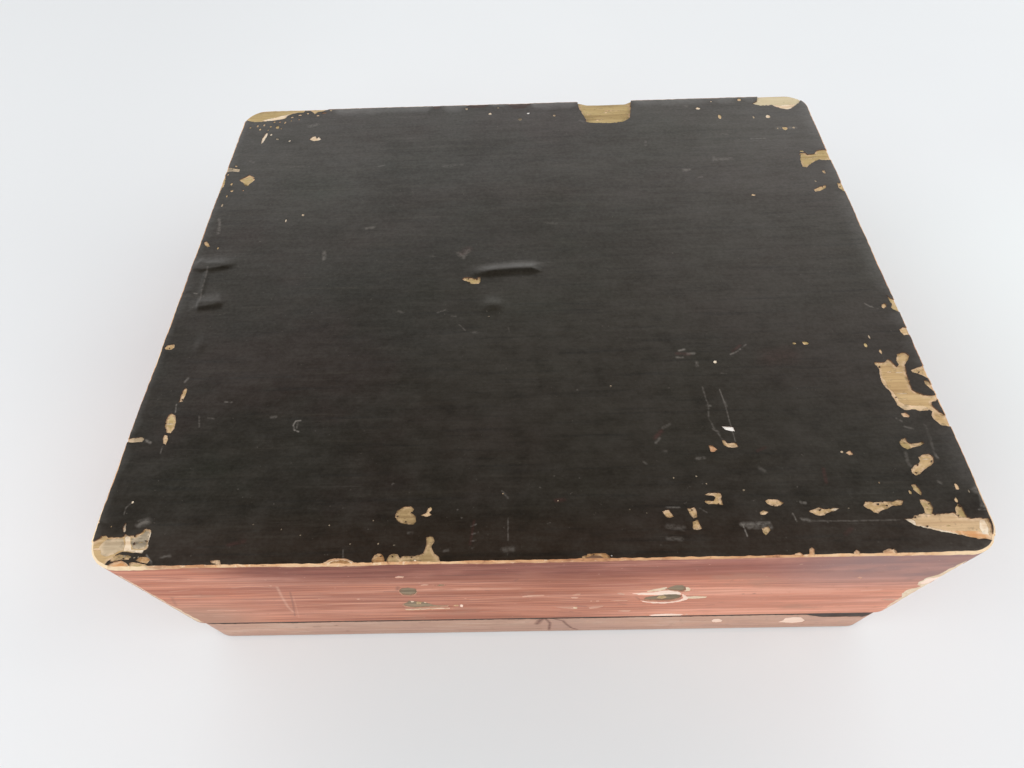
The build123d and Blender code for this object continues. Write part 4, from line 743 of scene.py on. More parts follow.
def worn_side(node, name, body, slot, side, paint, chips, scuffs=(), dirts=(), inside="inside", seed=1, sag=0.06):
    """The CAD board with its outer face cut again, chipped and scuffed."""
    rng = random.Random(seed)
    mesh = frame["nodes"][node].data
    mesh.calc_loop_triangles()
    weld, index, co = {}, [], []
    for v in mesh.vertices:
        p = np.array(v.co) * 1000.0
        key = tuple(int(round(c * 500)) for c in p)
        if key not in weld:
            weld[key] = len(co)
            co.append(p)
        index.append(weld[key])
    spot = [side.flat(p) for p in co]
    outer, rest = [], []
    for t in mesh.loop_triangles:
        ids = [index[i] for i in t.vertices]
        if len(set(ids)) < 3:
            continue
        good = all(spot[i] is not None for i in ids)
        if good:
            n = np.cross(co[ids[1]] - co[ids[0]], co[ids[2]] - co[ids[0]])
            n = n / (np.linalg.norm(n) + 1e-12)
            good = abs(n[2]) < 0.3
        (outer if good else rest).append(ids)
    nxt = {}
    used = {(a, c) for t in outer for a, c in ((t[0], t[1]), (t[1], t[2]), (t[2], t[0]))}
    for a, c in used:
        if (c, a) not in used:
            nxt[a] = c
    start = next(iter(nxt))
    loop, i = [start], nxt[start]
    while i != start:
        loop.append(i)
        i = nxt[i]
    outline = [spot[i] for i in loop]
    s0, s1 = min(p[0] for p in outline), max(p[0] for p in outline)
    t0, t1 = min(p[1] for p in outline), max(p[1] for p in outline)
    spots = []
    y = t0 + 2.2
    while y < t1 - 1.2:
        x = s0 + 0.7
        while x < s1 - 0.4:
            bend = abs(x) > side.half - 1.5
            spots.append((x + rng.uniform(-0.2, 0.2) * (0.3 if bend else 1.0), y + rng.uniform(-0.4, 0.4)))
            x += 0.9 if bend else 5.0
        y += 3.6
    made = []
    for c in chips:
        made.append(dict(c, pts=torn(c["pts"], rng)))
    for c in made:
        a = np.array(c["pts"])
        lo, hi = a.min(0), a.max(0)
        stepx = max(0.8, (hi[0] - lo[0]) / 40)
        stepy = max(0.5, (hi[1] - lo[1]) / 30)
        xs, ys = np.arange(lo[0] + 0.3, hi[0], stepx), np.arange(lo[1] + 0.2, hi[1], stepy)
        g = np.array([(x + rng.uniform(-0.2, 0.2), y + rng.uniform(-0.15, 0.15)) for x in xs for y in ys]).reshape(-1, 2)
        if len(g):
            spots += [tuple(p) for p in g[within(c["pts"], g)]]
    for k in (*scuffs, *dirts):
        spots += k.spots()
    spots = [tuple(p) for p in np.array(spots)[within(outline, spots)]
             if t0 + 0.25 < p[1] < t1 - 0.25 and s0 + 0.25 < p[0] < s1 - 0.25]
    pts, tris, owner = cut(outline, made, spots)
    n_loop = len(outline)
    edge = {}
    for i, (s, t) in enumerate(pts):
        edge[i] = (round(s, 4), round(t, 4))
    b = Builder()

    def height(s, t):
        e = min(t - t0, t1 - t, s - s0, s1 - s)
        return -sag * smooth(0.0, 9.0, e) * (0.6 + 0.8 * wob(0.02 * s, 0.05 * t, 0.0, seed))

    border = set()
    used2 = {}
    for t in tris:
        for a, c in ((t[0], t[1]), (t[1], t[2]), (t[2], t[0])):
            used2[(a, c)] = 1
    for a, c in used2:
        if (c, a) not in used2:
            border.update((a, c))
    carve(b, pts, tris, owner, made, side.place, height, list(scuffs), list(dirts), paint, border)
    # the rest of the board as it is in CAD
    ids = {}

    def old(i):
        if i not in ids:
            ids[i] = b.vert(co[i])
        return ids[i]

    for t in rest:
        p = [co[i] for i in t]
        n = np.cross(p[1] - p[0], p[2] - p[0])
        n = n / (np.linalg.norm(n) + 1e-12)
        facing = float(n @ side.n)
        slope = abs(n[2])
        # outward chamfers at the seam between lid and base get the dark band, painted shadow of the seam with some
        # dirt; on the back they keep the paint
        if facing > 0.3 or (0.3 < slope < 0.95):
            kind = "grime" if slope > 0.3 and side.n[1] < 0.5 else paint
        else:
            kind = inside
        b.face([old(i) for i in t], kind)
    return b.done(name, node, body, slot)


# ------------------------------------------------------------------ the black top
rng = random.Random(7)


def T(*px):
    return [on_top(u, v) for u, v in px]


def dot_top(kind, depth, u, v, w, h, turn=0.0):
    """A small speck, its centre and size in picture units."""
    a, b2 = on_top(u - w / 2, v), on_top(u + w / 2, v)
    c, d = on_top(u, v + h / 2), on_top(u, v - h / 2)
    x, y = on_top(u, v)
    return chip(kind, depth, blob(rng, x, y, max(0.5, b2[0] - a[0]), max(0.5, d[1] - c[1]), 8, 0.25, turn))


top_chips = [
    # front left corner
    chip("tan", 0.42, T((93.8, 541.2), (98.8, 538.8), (101.2, 535.6), (106.2, 535.6), (107.5, 537.5), (115, 536.9), (121.2, 536.9), (123.8, 535.6), (125, 533.2), (128.1, 535.6), (135, 534.4), (140, 532.5), (143.8, 528.8), (149.4, 528.8), (150.6, 532.5), (150, 536.2), (148.1, 540), (147.5, 545), (146.2, 548.8), (143.8, 550), (141.9, 553.1), (137.5, 552.5), (132.5, 553.1), (128.8, 551.9), (126.2, 551.2), (122.5, 551.2), (118.8, 552.5), (115, 555), (112.5, 558.8), (107.5, 561.2), (104, 566), (92, 572), (80, 560), (82, 545))),
    chip("beige", 0.44, T((103, 541), (107, 538.6), (115, 538), (122, 538), (123.2, 543), (122.4, 549.4), (117, 550.5), (112, 554), (105, 556), (100, 553), (98, 547))),
    chip("grey", 0.44, T((130.4, 538), (136, 536.4), (141, 534), (144.5, 530.5), (148, 530.4), (148.6, 534), (146.4, 539), (145.4, 544), (143, 548), (138, 548.6), (132, 548.4), (129.8, 543))),
    chip("cream", 0.46, T((123.8, 537.2), (126, 535), (129.4, 537), (129.4, 543), (130.4, 549.2), (137, 549.6), (143, 549), (141.6, 552.4), (133, 552.4), (127, 550.4), (122.6, 550.4), (124, 544))),
    chip("cream", 0.46, T((149, 531), (150.2, 533), (149, 539), (147.2, 545), (146, 546), (146.8, 540))),
    chip("orange", 0.40, T((107.5, 565), (114, 561), (121, 560), (124, 562), (128, 565), (128, 574), (106, 574))),
    chip("olive", 0.36, T((128.6, 563), (134, 562), (141, 563.4), (146, 565), (150, 566), (150, 573), (128.6, 573))),
    chip("umber", 0.20, T((109, 561.6), (113, 556.4), (119, 554), (126, 555), (131, 556.8), (128, 560), (121, 559.4), (115, 560.6))),
    chip("sienna", 0.20, T((135, 560.4), (140, 556.6), (146, 556.8), (150, 560), (147, 563.4), (140, 562.4))),
    chip("cream", 0.38, T((122.4, 527.5), (123.6, 525.4), (125, 522.6), (126.2, 523), (125.2, 526.4), (125.4, 530), (124.4, 532), (122.8, 531.4))),
    chip("rust", 0.30, T((210, 560.6), (215, 560), (220, 560), (221, 565), (221, 570), (216, 570), (215, 563.4), (211, 563))),
    # front edge
    chip("rust", 0.30, T((321, 570), (323.4, 562.6), (330, 559.2), (338, 557.8), (346, 558.4), (352, 560.6), (359, 564), (359, 570))),
    chip("cream", 0.33, T((323, 570), (326, 563.6), (331, 560.8), (338, 559.6), (346, 560.2), (352, 562.2), (357, 565.2), (357, 568), (350, 566.2), (345, 564.8), (338, 564.4), (332, 565.4), (329, 568), (328, 570))),
    chip("sienna", 0.36, T((328, 568), (330, 562.4), (334, 560.6), (340, 559.8), (347, 560.6), (351, 563), (353, 568))),
    chip("sienna", 0.34, T((371, 570), (371.6, 559), (374, 555), (378, 553.4), (382, 554), (384, 558), (384.6, 570))),
    chip("umber", 0.34, T((386.4, 570), (386.8, 559), (389, 555), (394, 553.4), (398, 554), (400, 558.4), (401, 570))),
    chip("umber", 0.36, T((394.4, 516), (397, 510), (403, 506.4), (411, 505.6), (414, 508.4), (412, 512.4), (415.6, 516), (416, 521), (413, 524.4), (407, 523.6), (402, 523), (397, 520))),
    chip("olive", 0.20, T((420, 515), (426, 512.4), (428, 508), (431, 506.4), (432, 509), (429, 512), (431.6, 514.4), (427, 516.4))),
    chip("umber", 0.36, T((425.6, 538), (429, 536.4), (433, 537), (434.4, 540), (433, 543.6), (431.6, 546), (432.4, 550), (435, 554), (439, 557), (440, 561), (441, 570), (399, 570), (399, 559.4), (401, 557), (406, 556), (414, 555.6), (419, 555), (423, 553), (424.4, 548), (425.6, 542))),
    chip("sienna", 0.34, T((582, 566), (582, 556), (588, 553.6), (597, 552.6), (606, 553), (610, 556), (611, 566))),
    chip("brown", 0.36, T((586, 557.6), (592, 555), (600, 555), (604, 557.4), (600, 560), (590, 560.4))),
    chip("tan", 0.34, T((662.6, 511), (669, 509), (672, 513), (674.4, 516), (670, 517.6), (666, 516.4))),
    chip("tan", 0.34, T((687, 508), (695, 507), (697, 511), (697.6, 517), (694, 518), (691, 515), (689, 511))),
    chip("tan", 0.34, T((693, 521), (698, 519), (700, 524), (702.4, 528.4), (698, 529.6), (693.6, 529), (693, 525))),
    chip("tan", 0.34, T((705, 494), (709, 492.2), (721, 492.2), (722.4, 496), (721.4, 498), (723.8, 504.2), (718, 503.8), (709, 503.8), (705, 501.6), (706, 499.8), (714, 500.4), (715.4, 497), (713.6, 495.2), (708, 494.8))),
    chip("tan", 0.34, T((765, 500), (769, 498.4), (778, 498.8), (784.4, 502.4), (781, 505), (774, 506), (769, 504))),
    chip("tan", 0.20, T((760, 512), (764, 509.6), (769, 511.6), (766, 514), (761, 514.4))),
    chip("olive", 0.30, T((762, 528), (769, 526), (771, 530), (766, 535), (763, 532))),
    chip("tan", 0.34, T((809, 510.4), (814, 508.6), (820, 506.4), (826, 509), (834, 507), (841, 508.2), (834, 511), (828, 513), (821, 515.6), (816, 514.4))),
    chip("cream", 0.38, T((831, 508.6), (836, 507.2), (841, 508), (836, 509.8))),
    chip("tan", 0.34, T((863.4, 505), (866, 501), (876, 501.6), (888, 501), (900, 499.4), (904, 500.6), (902, 504.4), (892, 505.6), (886, 509), (880, 512.6), (874, 512), (870, 508.6))),
    chip("rust", 0.30, T((809, 562), (809.4, 549), (812, 547), (814.6, 549), (815, 562))),
    chip("rust", 0.30, T((854, 560), (854, 552), (857, 549.6), (860, 551.4), (860.4, 560))),
    chip("rust", 0.30, T((883, 560), (883, 551), (888, 548.6), (894, 548.4), (897, 551), (897, 560))),
    chip("rust", 0.28, T((794, 562), (795, 553.6), (800, 552), (803, 554), (803, 562))),
    # front right corner
    chip("olive", 0.34, T((912, 484), (916, 483.6), (920, 488), (922.4, 492), (922, 495), (918, 492.4), (914, 489))),
    chip("olive", 0.34, T((920.4, 499), (925, 498.6), (931, 501.6), (933.8, 508), (933, 514.4), (926, 514.2), (924.4, 508), (921, 502.4))),
    chip("olive", 0.34, T((955.4, 508), (958, 503), (962, 506), (965, 512), (968, 518), (957, 517))),
    chip("pale", 0.45, T((904, 518.4), (912, 518), (916, 514.4), (924, 513.4), (956, 513), (960, 516.6), (968, 517.4), (988, 518), (991.4, 523), (992.6, 530), (996, 538), (991, 540), (982, 538.4), (974, 537.4), (962, 534.6), (940, 531), (924, 527), (917, 525.6), (910, 521.6))),
    chip("cream", 0.48, T((904, 518.4), (912, 518), (916, 520), (917, 525), (910, 521.6))),
    chip("orange", 0.48, T((942, 529.6), (958, 530.4), (975, 530.4), (988, 532), (993, 536), (992, 540), (982, 538.4), (974, 537.4), (962, 534.6), (944, 531.6))),
    chip("cream", 0.48, T((918, 525), (926, 525.6), (940, 528.6), (952, 531.6), (962, 534.6), (940, 531), (924, 527.2))),
    chip("cream", 0.48, T((981, 519.6), (986, 520), (989, 527), (990, 534), (984, 533), (980.6, 527))),
    # right edge
    chip("pale", 0.18, T((976.4, 471), (979, 480), (981, 490), (984.6, 500), (986, 508), (990, 515), (1002, 520), (1000, 496), (986, 470))),
    chip("olive", 0.34, T((886.4, 294.4), (889, 297), (893, 299), (896, 300), (900, 306), (906, 314), (897, 311), (893, 309), (891, 307), (892, 304.4), (889.6, 300))),
    chip("olive", 0.30, T((882, 304), (885, 303), (886.6, 306), (884, 308.4), (882, 307))),
    chip("tan", 0.34, T((899.4, 329), (903, 327), (908, 327.6), (916, 336), (909, 334.4), (904, 335), (901, 332))),
    chip("tan", 0.42, T((874, 361.6), (885, 361.6), (888, 358.6), (893, 362), (897, 366), (899, 364), (896, 360), (897, 354), (901, 352), (906, 352.4), (909.6, 355), (908.4, 359), (905.6, 364), (906.4, 369), (908, 376), (910, 382), (913, 389), (918, 392), (924, 395), (932, 395), (937, 394), (938, 398), (936, 401), (932, 402), (933, 406), (938, 410), (944, 414), (950, 419), (955, 424), (948, 426.4), (943, 425.4), (938, 422), (934, 419), (932, 415), (932, 411), (929, 409.6), (924, 410.4), (920, 411), (916, 409), (910, 409.6), (905, 410), (900, 406), (896, 401), (893, 397), (891, 392), (886, 387), (882, 380), (880.6, 374), (879.4, 369))),
    chip("pale", 0.45, T((881, 372), (885, 378), (889, 386), (895, 392), (899, 399), (906, 404), (915, 404.6), (924, 405), (929, 407), (924, 410.2), (916, 408.6), (905, 409.6), (900, 405.6), (896, 400.6), (892, 392), (886, 386.6), (882, 380))),
    chip("tan", 0.34, T((911, 370), (918, 367), (925, 364.6), (932, 369), (934, 378), (927, 378), (922, 375), (917, 373), (913, 372))),
    chip("olive", 0.34, T((924, 380), (929, 381), (932, 386), (938, 391), (933, 390.6), (929, 387), (925, 384))),
    chip("rust", 0.30, T((901, 413), (906, 412), (910.4, 415), (909, 417), (904, 416.4))),
    chip("olive", 0.36, T((900, 441), (903, 438), (906, 437), (908, 441), (912, 443), (918, 442), (923, 441), (925, 443), (920, 445.6), (914, 447), (908, 449), (903, 446), (900.4, 443))),
    chip("tan", 0.36, T((919, 457), (924, 453.6), (930, 453), (934, 457), (934, 462), (930, 466), (925, 469), (921, 473.4), (917, 475), (913, 472.6), (912, 468.4), (915, 464.6), (919, 463), (920.6, 460.4))),
    # back right corner
    chip("sand", 0.40, T((752, 103.4), (757, 101), (758, 92), (806, 92), (801, 100), (799, 102.6), (794, 106), (789, 108.8), (784, 108.2), (777, 106.8), (772, 104.4), (768, 105), (760, 105), (756, 104.6))),
    chip("cream", 0.42, T((762, 104), (770, 103.6), (778, 104.4), (786, 104), (796, 103), (794, 106), (789, 108.6), (784, 108), (777, 106.6), (772, 104.6))),
    chip("olive", 0.36, T((800, 153), (805, 152), (808, 154), (815, 153), (817, 150), (824, 149.4), (831, 150.6), (830, 154), (838, 156.4), (836, 159), (826, 160), (820, 159), (814, 161), (809, 164), (807, 166.6), (803, 166), (801, 162))),
    chip("olive", 0.30, T((832, 162), (841, 162), (848, 180), (850, 192), (843, 190.6), (839, 188), (837, 182.6), (841, 183), (837, 171))),
    chip("olive", 0.30, T((814, 189), (820, 186), (826, 184.6), (826, 187.4), (821, 190), (816, 191))),
    # back edge, where a fitting was torn off
    chip("olive", 0.95, T((577, 92), (577.6, 103), (579, 108), (582, 112.4), (585, 117), (586.4, 121), (590, 122), (600, 122.2), (612, 122), (620, 121.4), (625, 120), (629, 118), (630.6, 115), (631, 104), (631, 92))),
    # back left corner
    chip("olive", 0.40, T((240, 124), (247.5, 120.4), (251.7, 121.7), (256.7, 121.7), (265, 120.8), (273.3, 120), (280, 119.2), (285, 118.3), (288.3, 115), (294.2, 113.3), (298.3, 112.5), (303.3, 112.5), (305, 110.8), (310, 110.6), (312.5, 111.7), (315, 114.2), (318.3, 111.9), (323.3, 111.2), (328.3, 109.4), (328, 98), (250, 98))),
    chip("cream", 0.43, T((262, 119.4), (270, 117.6), (280, 115.6), (290, 113.4), (284, 117.6), (276, 119.4), (266, 120.4))),
    chip("olive", 0.30, T((239.2, 179.2), (245, 176.7), (249.2, 174.2), (254.2, 176.7), (254.7, 179.2), (251.7, 181.7), (249.2, 183.3), (248.3, 185), (245, 185.8), (243.3, 182.5), (240, 180.8))),
    chip("grey", 0.16, T((222, 168), (230, 167.6), (240, 169), (239, 171.4), (231, 171.4), (222, 173))),
    chip("cream", 0.22, T((309, 138.6), (312, 136), (315, 135.4), (316.6, 137.6), (318.4, 135.8), (321, 138.4), (318, 139.6), (313, 140))),
    chip("cream", 0.22, T((265.8, 132.4), (268, 132.6), (266.4, 136.6), (263, 142), (260.8, 143.4), (262, 138.6))),
    chip("olive", 0.28, T((214, 198), (219, 184), (222, 176.4), (226, 176), (225, 184), (221, 190), (218, 198))),
    chip("smudge", 0.14, T((431, 98), (432, 106), (435, 109), (440, 108), (441, 98))),
    chip("smudge", 0.12, T((466, 98), (467, 106.4), (474, 108), (483, 107.4), (488, 106), (488, 98))),
    chip("smudge", 0.12, T((508, 98), (509, 105.6), (514, 108.6), (524, 108), (530, 105), (530, 98))),
    # left edge
    chip("tan", 0.25, T((164, 348), (168, 345), (174, 344), (174.4, 347), (171, 349.6), (166, 349.6))),
    chip("tan", 0.30, T((185, 387), (187, 389), (185, 395), (182, 401), (178, 402), (180, 397), (182, 391))),
    chip("olive", 0.32, T((171, 413), (175, 415), (175.6, 422), (174, 428), (170, 433), (166, 432), (164.4, 426), (166, 419), (168, 415))),
    chip("tan", 0.30, T((164, 434), (167, 435), (167.4, 440), (165, 444.4), (162.6, 443), (162.4, 438))),
    chip("beige", 0.26, T((122, 440.6), (127, 440), (132, 438), (142, 437), (144, 439), (142, 441.4), (134, 442.4), (128, 442.2), (122, 442.6))),
    chip("tan", 0.22, T((204, 242), (207, 241.4), (210, 246), (207.4, 247), (204.6, 244.6))),
    # middle
    chip("olive", 0.45, T((461.9, 277.9), (464.3, 276), (468.6, 276), (472.1, 276.4), (474.3, 277.4), (478.6, 275.7), (480.4, 275.7), (480.2, 280.7), (478.6, 282.6), (472.9, 282.6), (469.3, 282.1), (467.1, 280), (464.3, 279.3))),
    chip("white", 0.20, T((721.6, 424.8), (728, 425.4), (733.4, 425.8), (736.2, 430.2), (731.6, 430), (726, 428.6))),
    chip("tan", 0.28, T((722.4, 439), (726, 439.6), (728, 442), (732, 441.6), (737, 442), (739.6, 446), (734, 446.6), (728, 446), (724, 443.6))),
    chip("rust", 0.28, T((709, 444), (713, 444.4), (718, 448.4), (714.4, 451), (711, 450.4))),
    chip("rust", 0.28, T((846.4, 451.8), (851, 449), (854.6, 453.6), (850, 454.2))),
]
for kind, u, v, w, h in (
        ("cream", 490, 113.4, 3.6, 2), ("white", 528.4, 112.8, 3, 1.8), ("grey", 520, 118.8, 4, 2.6), ("beige", 554.4, 115, 3, 2), ("grey", 498, 107.6, 3, 1.4),
        ("rust", 292, 117, 3, 1.2), ("rust", 300, 115, 3.4, 1.2), ("tan", 308, 113.4, 2.4, 1.2), ("rust", 318, 115.4, 2.6, 1.2), ("brown", 324, 113, 5, 1.6), ("tan", 331, 110.4, 3, 1),
        ("rust", 280, 121.6, 2, 1.2), ("tan", 291, 120.4, 1.8, 1), ("rust", 299, 119, 1.6, 1), ("olive", 260, 129, 1.8, 1.6), ("olive", 268, 129.6, 1.6, 1.4), ("tan", 281, 128, 1.6, 1.4),
        ("olive", 236, 166, 2.6, 1.4), ("rust", 228, 174.6, 2, 1.6), ("olive", 226.6, 196, 2, 2.4), ("grey", 222, 205, 2, 3), ("rust", 243, 190, 1.4, 1.2),
        ("tan", 264, 124.7, 2.4, 2.4), ("olive", 270.5, 126.3, 2, 1.6), ("olive", 277.5, 126.7, 3.6, 3), ("tan", 274.5, 121.7, 2.2, 1.4),
        ("tan", 285, 122.2, 2, 2), ("olive", 257.5, 125.8, 2, 2), ("olive", 250.3, 127.5, 2, 1.4), ("cream", 270.8, 134.2, 2.2, 1.8),
        ("grey", 277.2, 138.3, 3, 1.8), ("cream", 289.2, 140, 2.6, 1.4), ("olive", 231.5, 184, 2.4, 3), ("olive", 231.5, 190.6, 3, 2.2),
        ("cream", 698, 108, 4.6, 2.2), ("olive", 720, 116, 3.4, 4), ("cream", 768, 116, 5, 3.4), ("grey", 754, 116.6, 2.4, 2), ("olive", 785, 127.6, 5, 3),
        ("grey", 794, 127, 3, 2), ("grey", 778, 127.4, 1.6, 1.6), ("cream", 711, 101.4, 1.6, 1), ("olive", 739, 99.6, 4, 2.4), ("olive", 802, 150.6, 5, 1.4),
        ("olive", 824, 171.4, 3, 3.4), ("grey", 816, 180.6, 2.6, 2), ("tan", 754, 193.6, 5, 1.8), ("cream", 285.4, 219.4, 1.8, 3), ("grey", 302.4, 213.6, 2.6, 2),
        ("olive", 217.6, 248, 2, 2.4), ("cream", 715.6, 360.4, 4.2, 2.8), ("olive", 795, 342, 4, 2.6), ("olive", 806, 342, 6, 4),
        ("olive", 866, 344.6, 4, 5), ("grey", 869.6, 336, 2, 4), ("olive", 881, 351, 2.4, 5), ("grey", 843, 451, 3, 2.4),
        ("olive", 911, 491.6, 3, 4), ("olive", 957, 486, 4.4, 7), ("olive", 956.6, 499.6, 3.4, 5.4), ("grey", 969, 491, 2, 4),
        ("cream", 132, 502, 2.4, 2.6), ("tan", 99, 522.5, 1.6, 1.8), ("tan", 111, 526.5, 1.6, 1.8), ("grey", 124, 556, 2.2, 2), ("grey", 134, 557.5, 2, 1.6), ("grey", 138, 557, 2, 1.6),
        ("grey", 253, 524, 1.6, 1.2), ("grey", 281, 529, 1.4, 1.2), ("grey", 329, 525, 1.6, 1.4), ("grey", 373, 520, 1.6, 1.4), ("grey", 350, 543.6, 1.6, 1.4), ("grey", 378, 543.6, 2, 1.4),
        ("grey", 394, 545, 2.2, 1.6), ("grey", 300, 535, 1.4, 1.2), ("cream", 415, 560.4, 2.6, 1.8), ("white", 611.6, 555.6, 1.8, 1.6),
        ("grey", 611, 384.6, 1.8, 1.4), ("grey", 674, 477, 2, 1.6), ("grey", 697, 475.4, 2.2, 1.6), ("grey", 707, 483, 1.8, 1.2), ("grey", 744, 489.4, 2.6, 1.8),
        ("grey", 488.6, 315.1, 1.8, 1.0), ("grey", 630, 509, 1.4, 1.4), ("grey", 647, 512.6, 1.4, 1.4), ("tan", 503, 493, 1.6, 1.4), ("grey", 558, 500, 1.6, 1.2),
        ("grey", 849, 507.6, 2.0, 1.4), ("olive", 880, 482, 1.6, 1.2), ("grey", 466.6, 109, 2.6, 2.2), ("grey", 431, 105.4, 3, 1)):
    top_chips.append(dot_top(kind, 0.14, u, v, w, h))


def S(points, radius_px, amount, place=on_top):
    """A rubbed line, its points and radius in picture units."""
    u, v = points[0]
    a, b2 = place(u - 1, v), place(u + 1, v)
    mm = math.hypot(b2[0] - a[0], b2[1] - a[1]) / 2
    return Stroke([place(*p) for p in points], max(0.28, radius_px * mm), amount)


top_scuffs = [
    S([(139, 523.6), (147, 521)], 4.0, 0.62), S([(146.2, 555), (150.6, 561), (153, 564)], 0.9, 0.95), S([(161, 557), (170, 556)], 1.6, 0.4),
    S([(131, 503), (126, 507), (123.6, 514)], 0.8, 0.4), S([(134, 418), (131, 430)], 1.4, 0.5), S([(145, 440), (150, 442.4)], 1.6, 0.7),
    S([(219, 219), (219.5, 226), (218, 233)], 1.8, 0.45), S([(194, 293), (197, 293.4)], 0.8, 0.7), S([(208, 267), (206, 275), (202, 288), (200, 300)], 1.0, 0.28),
    S([(184, 382), (187.6, 378)], 1.3, 0.6), S([(176, 404), (175, 412)], 0.8, 0.7), S([(162, 446), (160, 453)], 0.8, 0.5), S([(198.6, 415), (198.6, 426)], 1.0, 0.35),
    S([(224, 401), (231, 401.4)], 1.1, 0.5), S([(300, 419.4), (295, 420), (292.6, 424), (293.6, 429), (298, 430.6)], 0.9, 0.85), S([(297, 421.6), (296, 427)], 1.0, 0.4),
    S([(270, 416), (275, 416)], 1.6, 0.4), S([(207, 417), (214, 418)], 0.9, 0.3), S([(324, 251), (323, 258)], 2.4, 0.45), S([(310, 126), (317, 124)], 2.4, 0.35),
    S([(248, 160), (254, 162)], 1.4, 0.2), S([(287, 166), (303, 165)], 1.0, 0.2), S([(378, 165), (384, 164)], 1.0, 0.3),
    S([(437, 311.4), (445, 308.6)], 1.0, 0.4), S([(451, 315), (456, 315)], 0.8, 0.35), S([(458.6, 323), (465, 329)], 0.9, 0.3), S([(458, 252), (463, 256), (468, 249)], 2.6, 0.42), S([(366, 227), (373, 226)], 2.2, 0.42), S([(778, 127.4), (795, 127)], 2.6, 0.5), S([(444, 165), (462, 163)], 2.0, 0.2), S([(545, 221), (556, 222)], 2.0, 0.22), S([(716, 158), (732, 157)], 2.4, 0.3), S([(684, 169), (690, 168)], 2.0, 0.5),
    S([(397, 310), (403, 311)], 1.6, 0.25), S([(430, 255), (436, 255)], 1.4, 0.2), S([(471, 331), (478, 331)], 1.6, 0.22), S([(508, 326), (509, 330)], 1.2, 0.25),
    S([(679, 349.6), (685, 348)], 1.3, 0.75), S([(677, 356), (683, 356)], 1.4, 0.5), S([(688, 352.6), (695, 352)], 1.8, 0.5), S([(697, 361), (698, 365)], 1.8, 0.5),
    S([(731, 353), (738, 350), (741, 347.6)], 1.0, 0.6), S([(743, 346), (747, 343)], 0.9, 0.4), S([(722, 372), (727, 372)], 1.0, 0.25),
    S([(703, 386), (706, 396), (709, 405), (709, 416), (714, 426), (720, 434), (724, 440)], 1.0, 0.34), S([(714, 428), (719, 431)], 1.6, 0.45), S([(707, 404), (711, 404.6)], 1.4, 0.4),
    S([(720, 388), (726, 404), (729, 416), (733, 430), (736, 440)], 0.7, 0.5), S([(725, 401), (727, 405)], 1.6, 0.4), S([(697, 457.6), (705, 457)], 1.8, 0.5), S([(656, 442), (660, 437)], 1.4, 0.4), S([(663, 427), (670, 423)], 1.8, 0.25),
    S([(644, 461), (647, 463)], 1.2, 0.3), S([(663, 450), (667, 450)], 1.6, 0.2), S([(760, 467), (765, 470)], 2.0, 0.25), S([(865, 303), (870, 306), (878, 308)], 1.1, 0.6),
    S([(897, 418), (902, 420.6)], 1.3, 0.5), S([(905, 426), (913, 428.4)], 1.2, 0.5), S([(925, 424), (930, 436), (934, 450), (938, 458)], 1.6, 0.2), S([(936, 455), (938, 457)], 1.8, 0.45),
    S([(906, 452), (908, 460), (911, 465)], 2.0, 0.28), S([(938, 481), (942, 483)], 1.6, 0.35), S([(979, 509.4), (988, 510)], 1.1, 0.7), S([(977, 486), (979.6, 497)], 1.4, 0.55),
    S([(981, 496), (986, 507)], 1.6, 0.6), S([(742, 524), (770, 523.4)], 2.6, 0.62), S([(748, 527), (772, 527)], 2.2, 0.45), S([(743, 524), (747.6, 536)], 0.9, 0.85),
    S([(793, 513), (797, 521)], 0.8, 0.75), S([(802, 518.6), (810, 520)], 2.0, 0.5), S([(812, 520.4), (845, 520.6), (900, 519.6)], 0.9, 0.35), S([(801, 501.6), (806, 502.4)], 1.6, 0.55),
    S([(666, 507), (680, 507)], 1.0, 0.5), S([(668, 526), (684, 528)], 3.0, 0.32), S([(668, 538), (682, 539)], 2.4, 0.32), S([(700, 508), (707, 512)], 0.8, 0.3),
    S([(471, 526), (476, 524)], 1.0, 0.4), S([(472, 534), (475, 533)], 1.0, 0.35), S([(471, 541), (476, 540)], 1.0, 0.4), S([(472, 548), (474, 547)], 1.0, 0.35),
    S([(508, 518), (508, 540)], 0.8, 0.4), S([(503, 550), (513, 549)], 3.0, 0.3), S([(408, 533), (412, 532)], 1.6, 0.3), S([(444, 551), (448, 550)], 1.6, 0.3),
    S([(502, 490), (508, 498)], 1.2, 0.3), S([(751, 137.6), (766, 137.2)], 0.8, 0.5), S([(683, 168), (689, 168)], 1.2, 0.5), S([(699, 176), (703, 175.4)], 1.2, 0.35),
    S([(646, 140), (646, 144)], 1.4, 0.3), S([(714, 154), (714, 159)], 1.6, 0.25), S([(725, 158), (727, 158)], 1.6, 0.25), S([(722, 133), (728, 133)], 1.4, 0.25), S([(684, 106), (688, 106)], 1.8, 0.3),
    S([(580, 120), (586, 122)], 1.6, 0.3), S([(343, 550), (343, 557)], 0.8, 0.4),
]

# places where the red stain shows through the black
top_stains = [
    S([(768, 357), (792, 352)], 12.0, 0.20), S([(410, 196), (480, 190), (570, 192)], 16.0, 0.06), S([(655, 437), (662, 430)], 2.6, 0.55), S([(824, 468), (827, 482)], 2.0, 0.45),
    S([(556, 500), (564, 499)], 2.4, 0.45), S([(462, 252), (468, 248)], 5.0, 0.22), S([(733, 350), (741, 344)], 1.6, 0.5), S([(677, 352), (690, 353)], 2.2, 0.4),
    S([(758, 450), (766, 446)], 1.8, 0.4), S([(470, 544), (474, 520)], 1.6, 0.35), S([(228, 545), (244, 541)], 2.4, 0.35), S([(846, 534), (852, 528)], 2.4, 0.35),
]

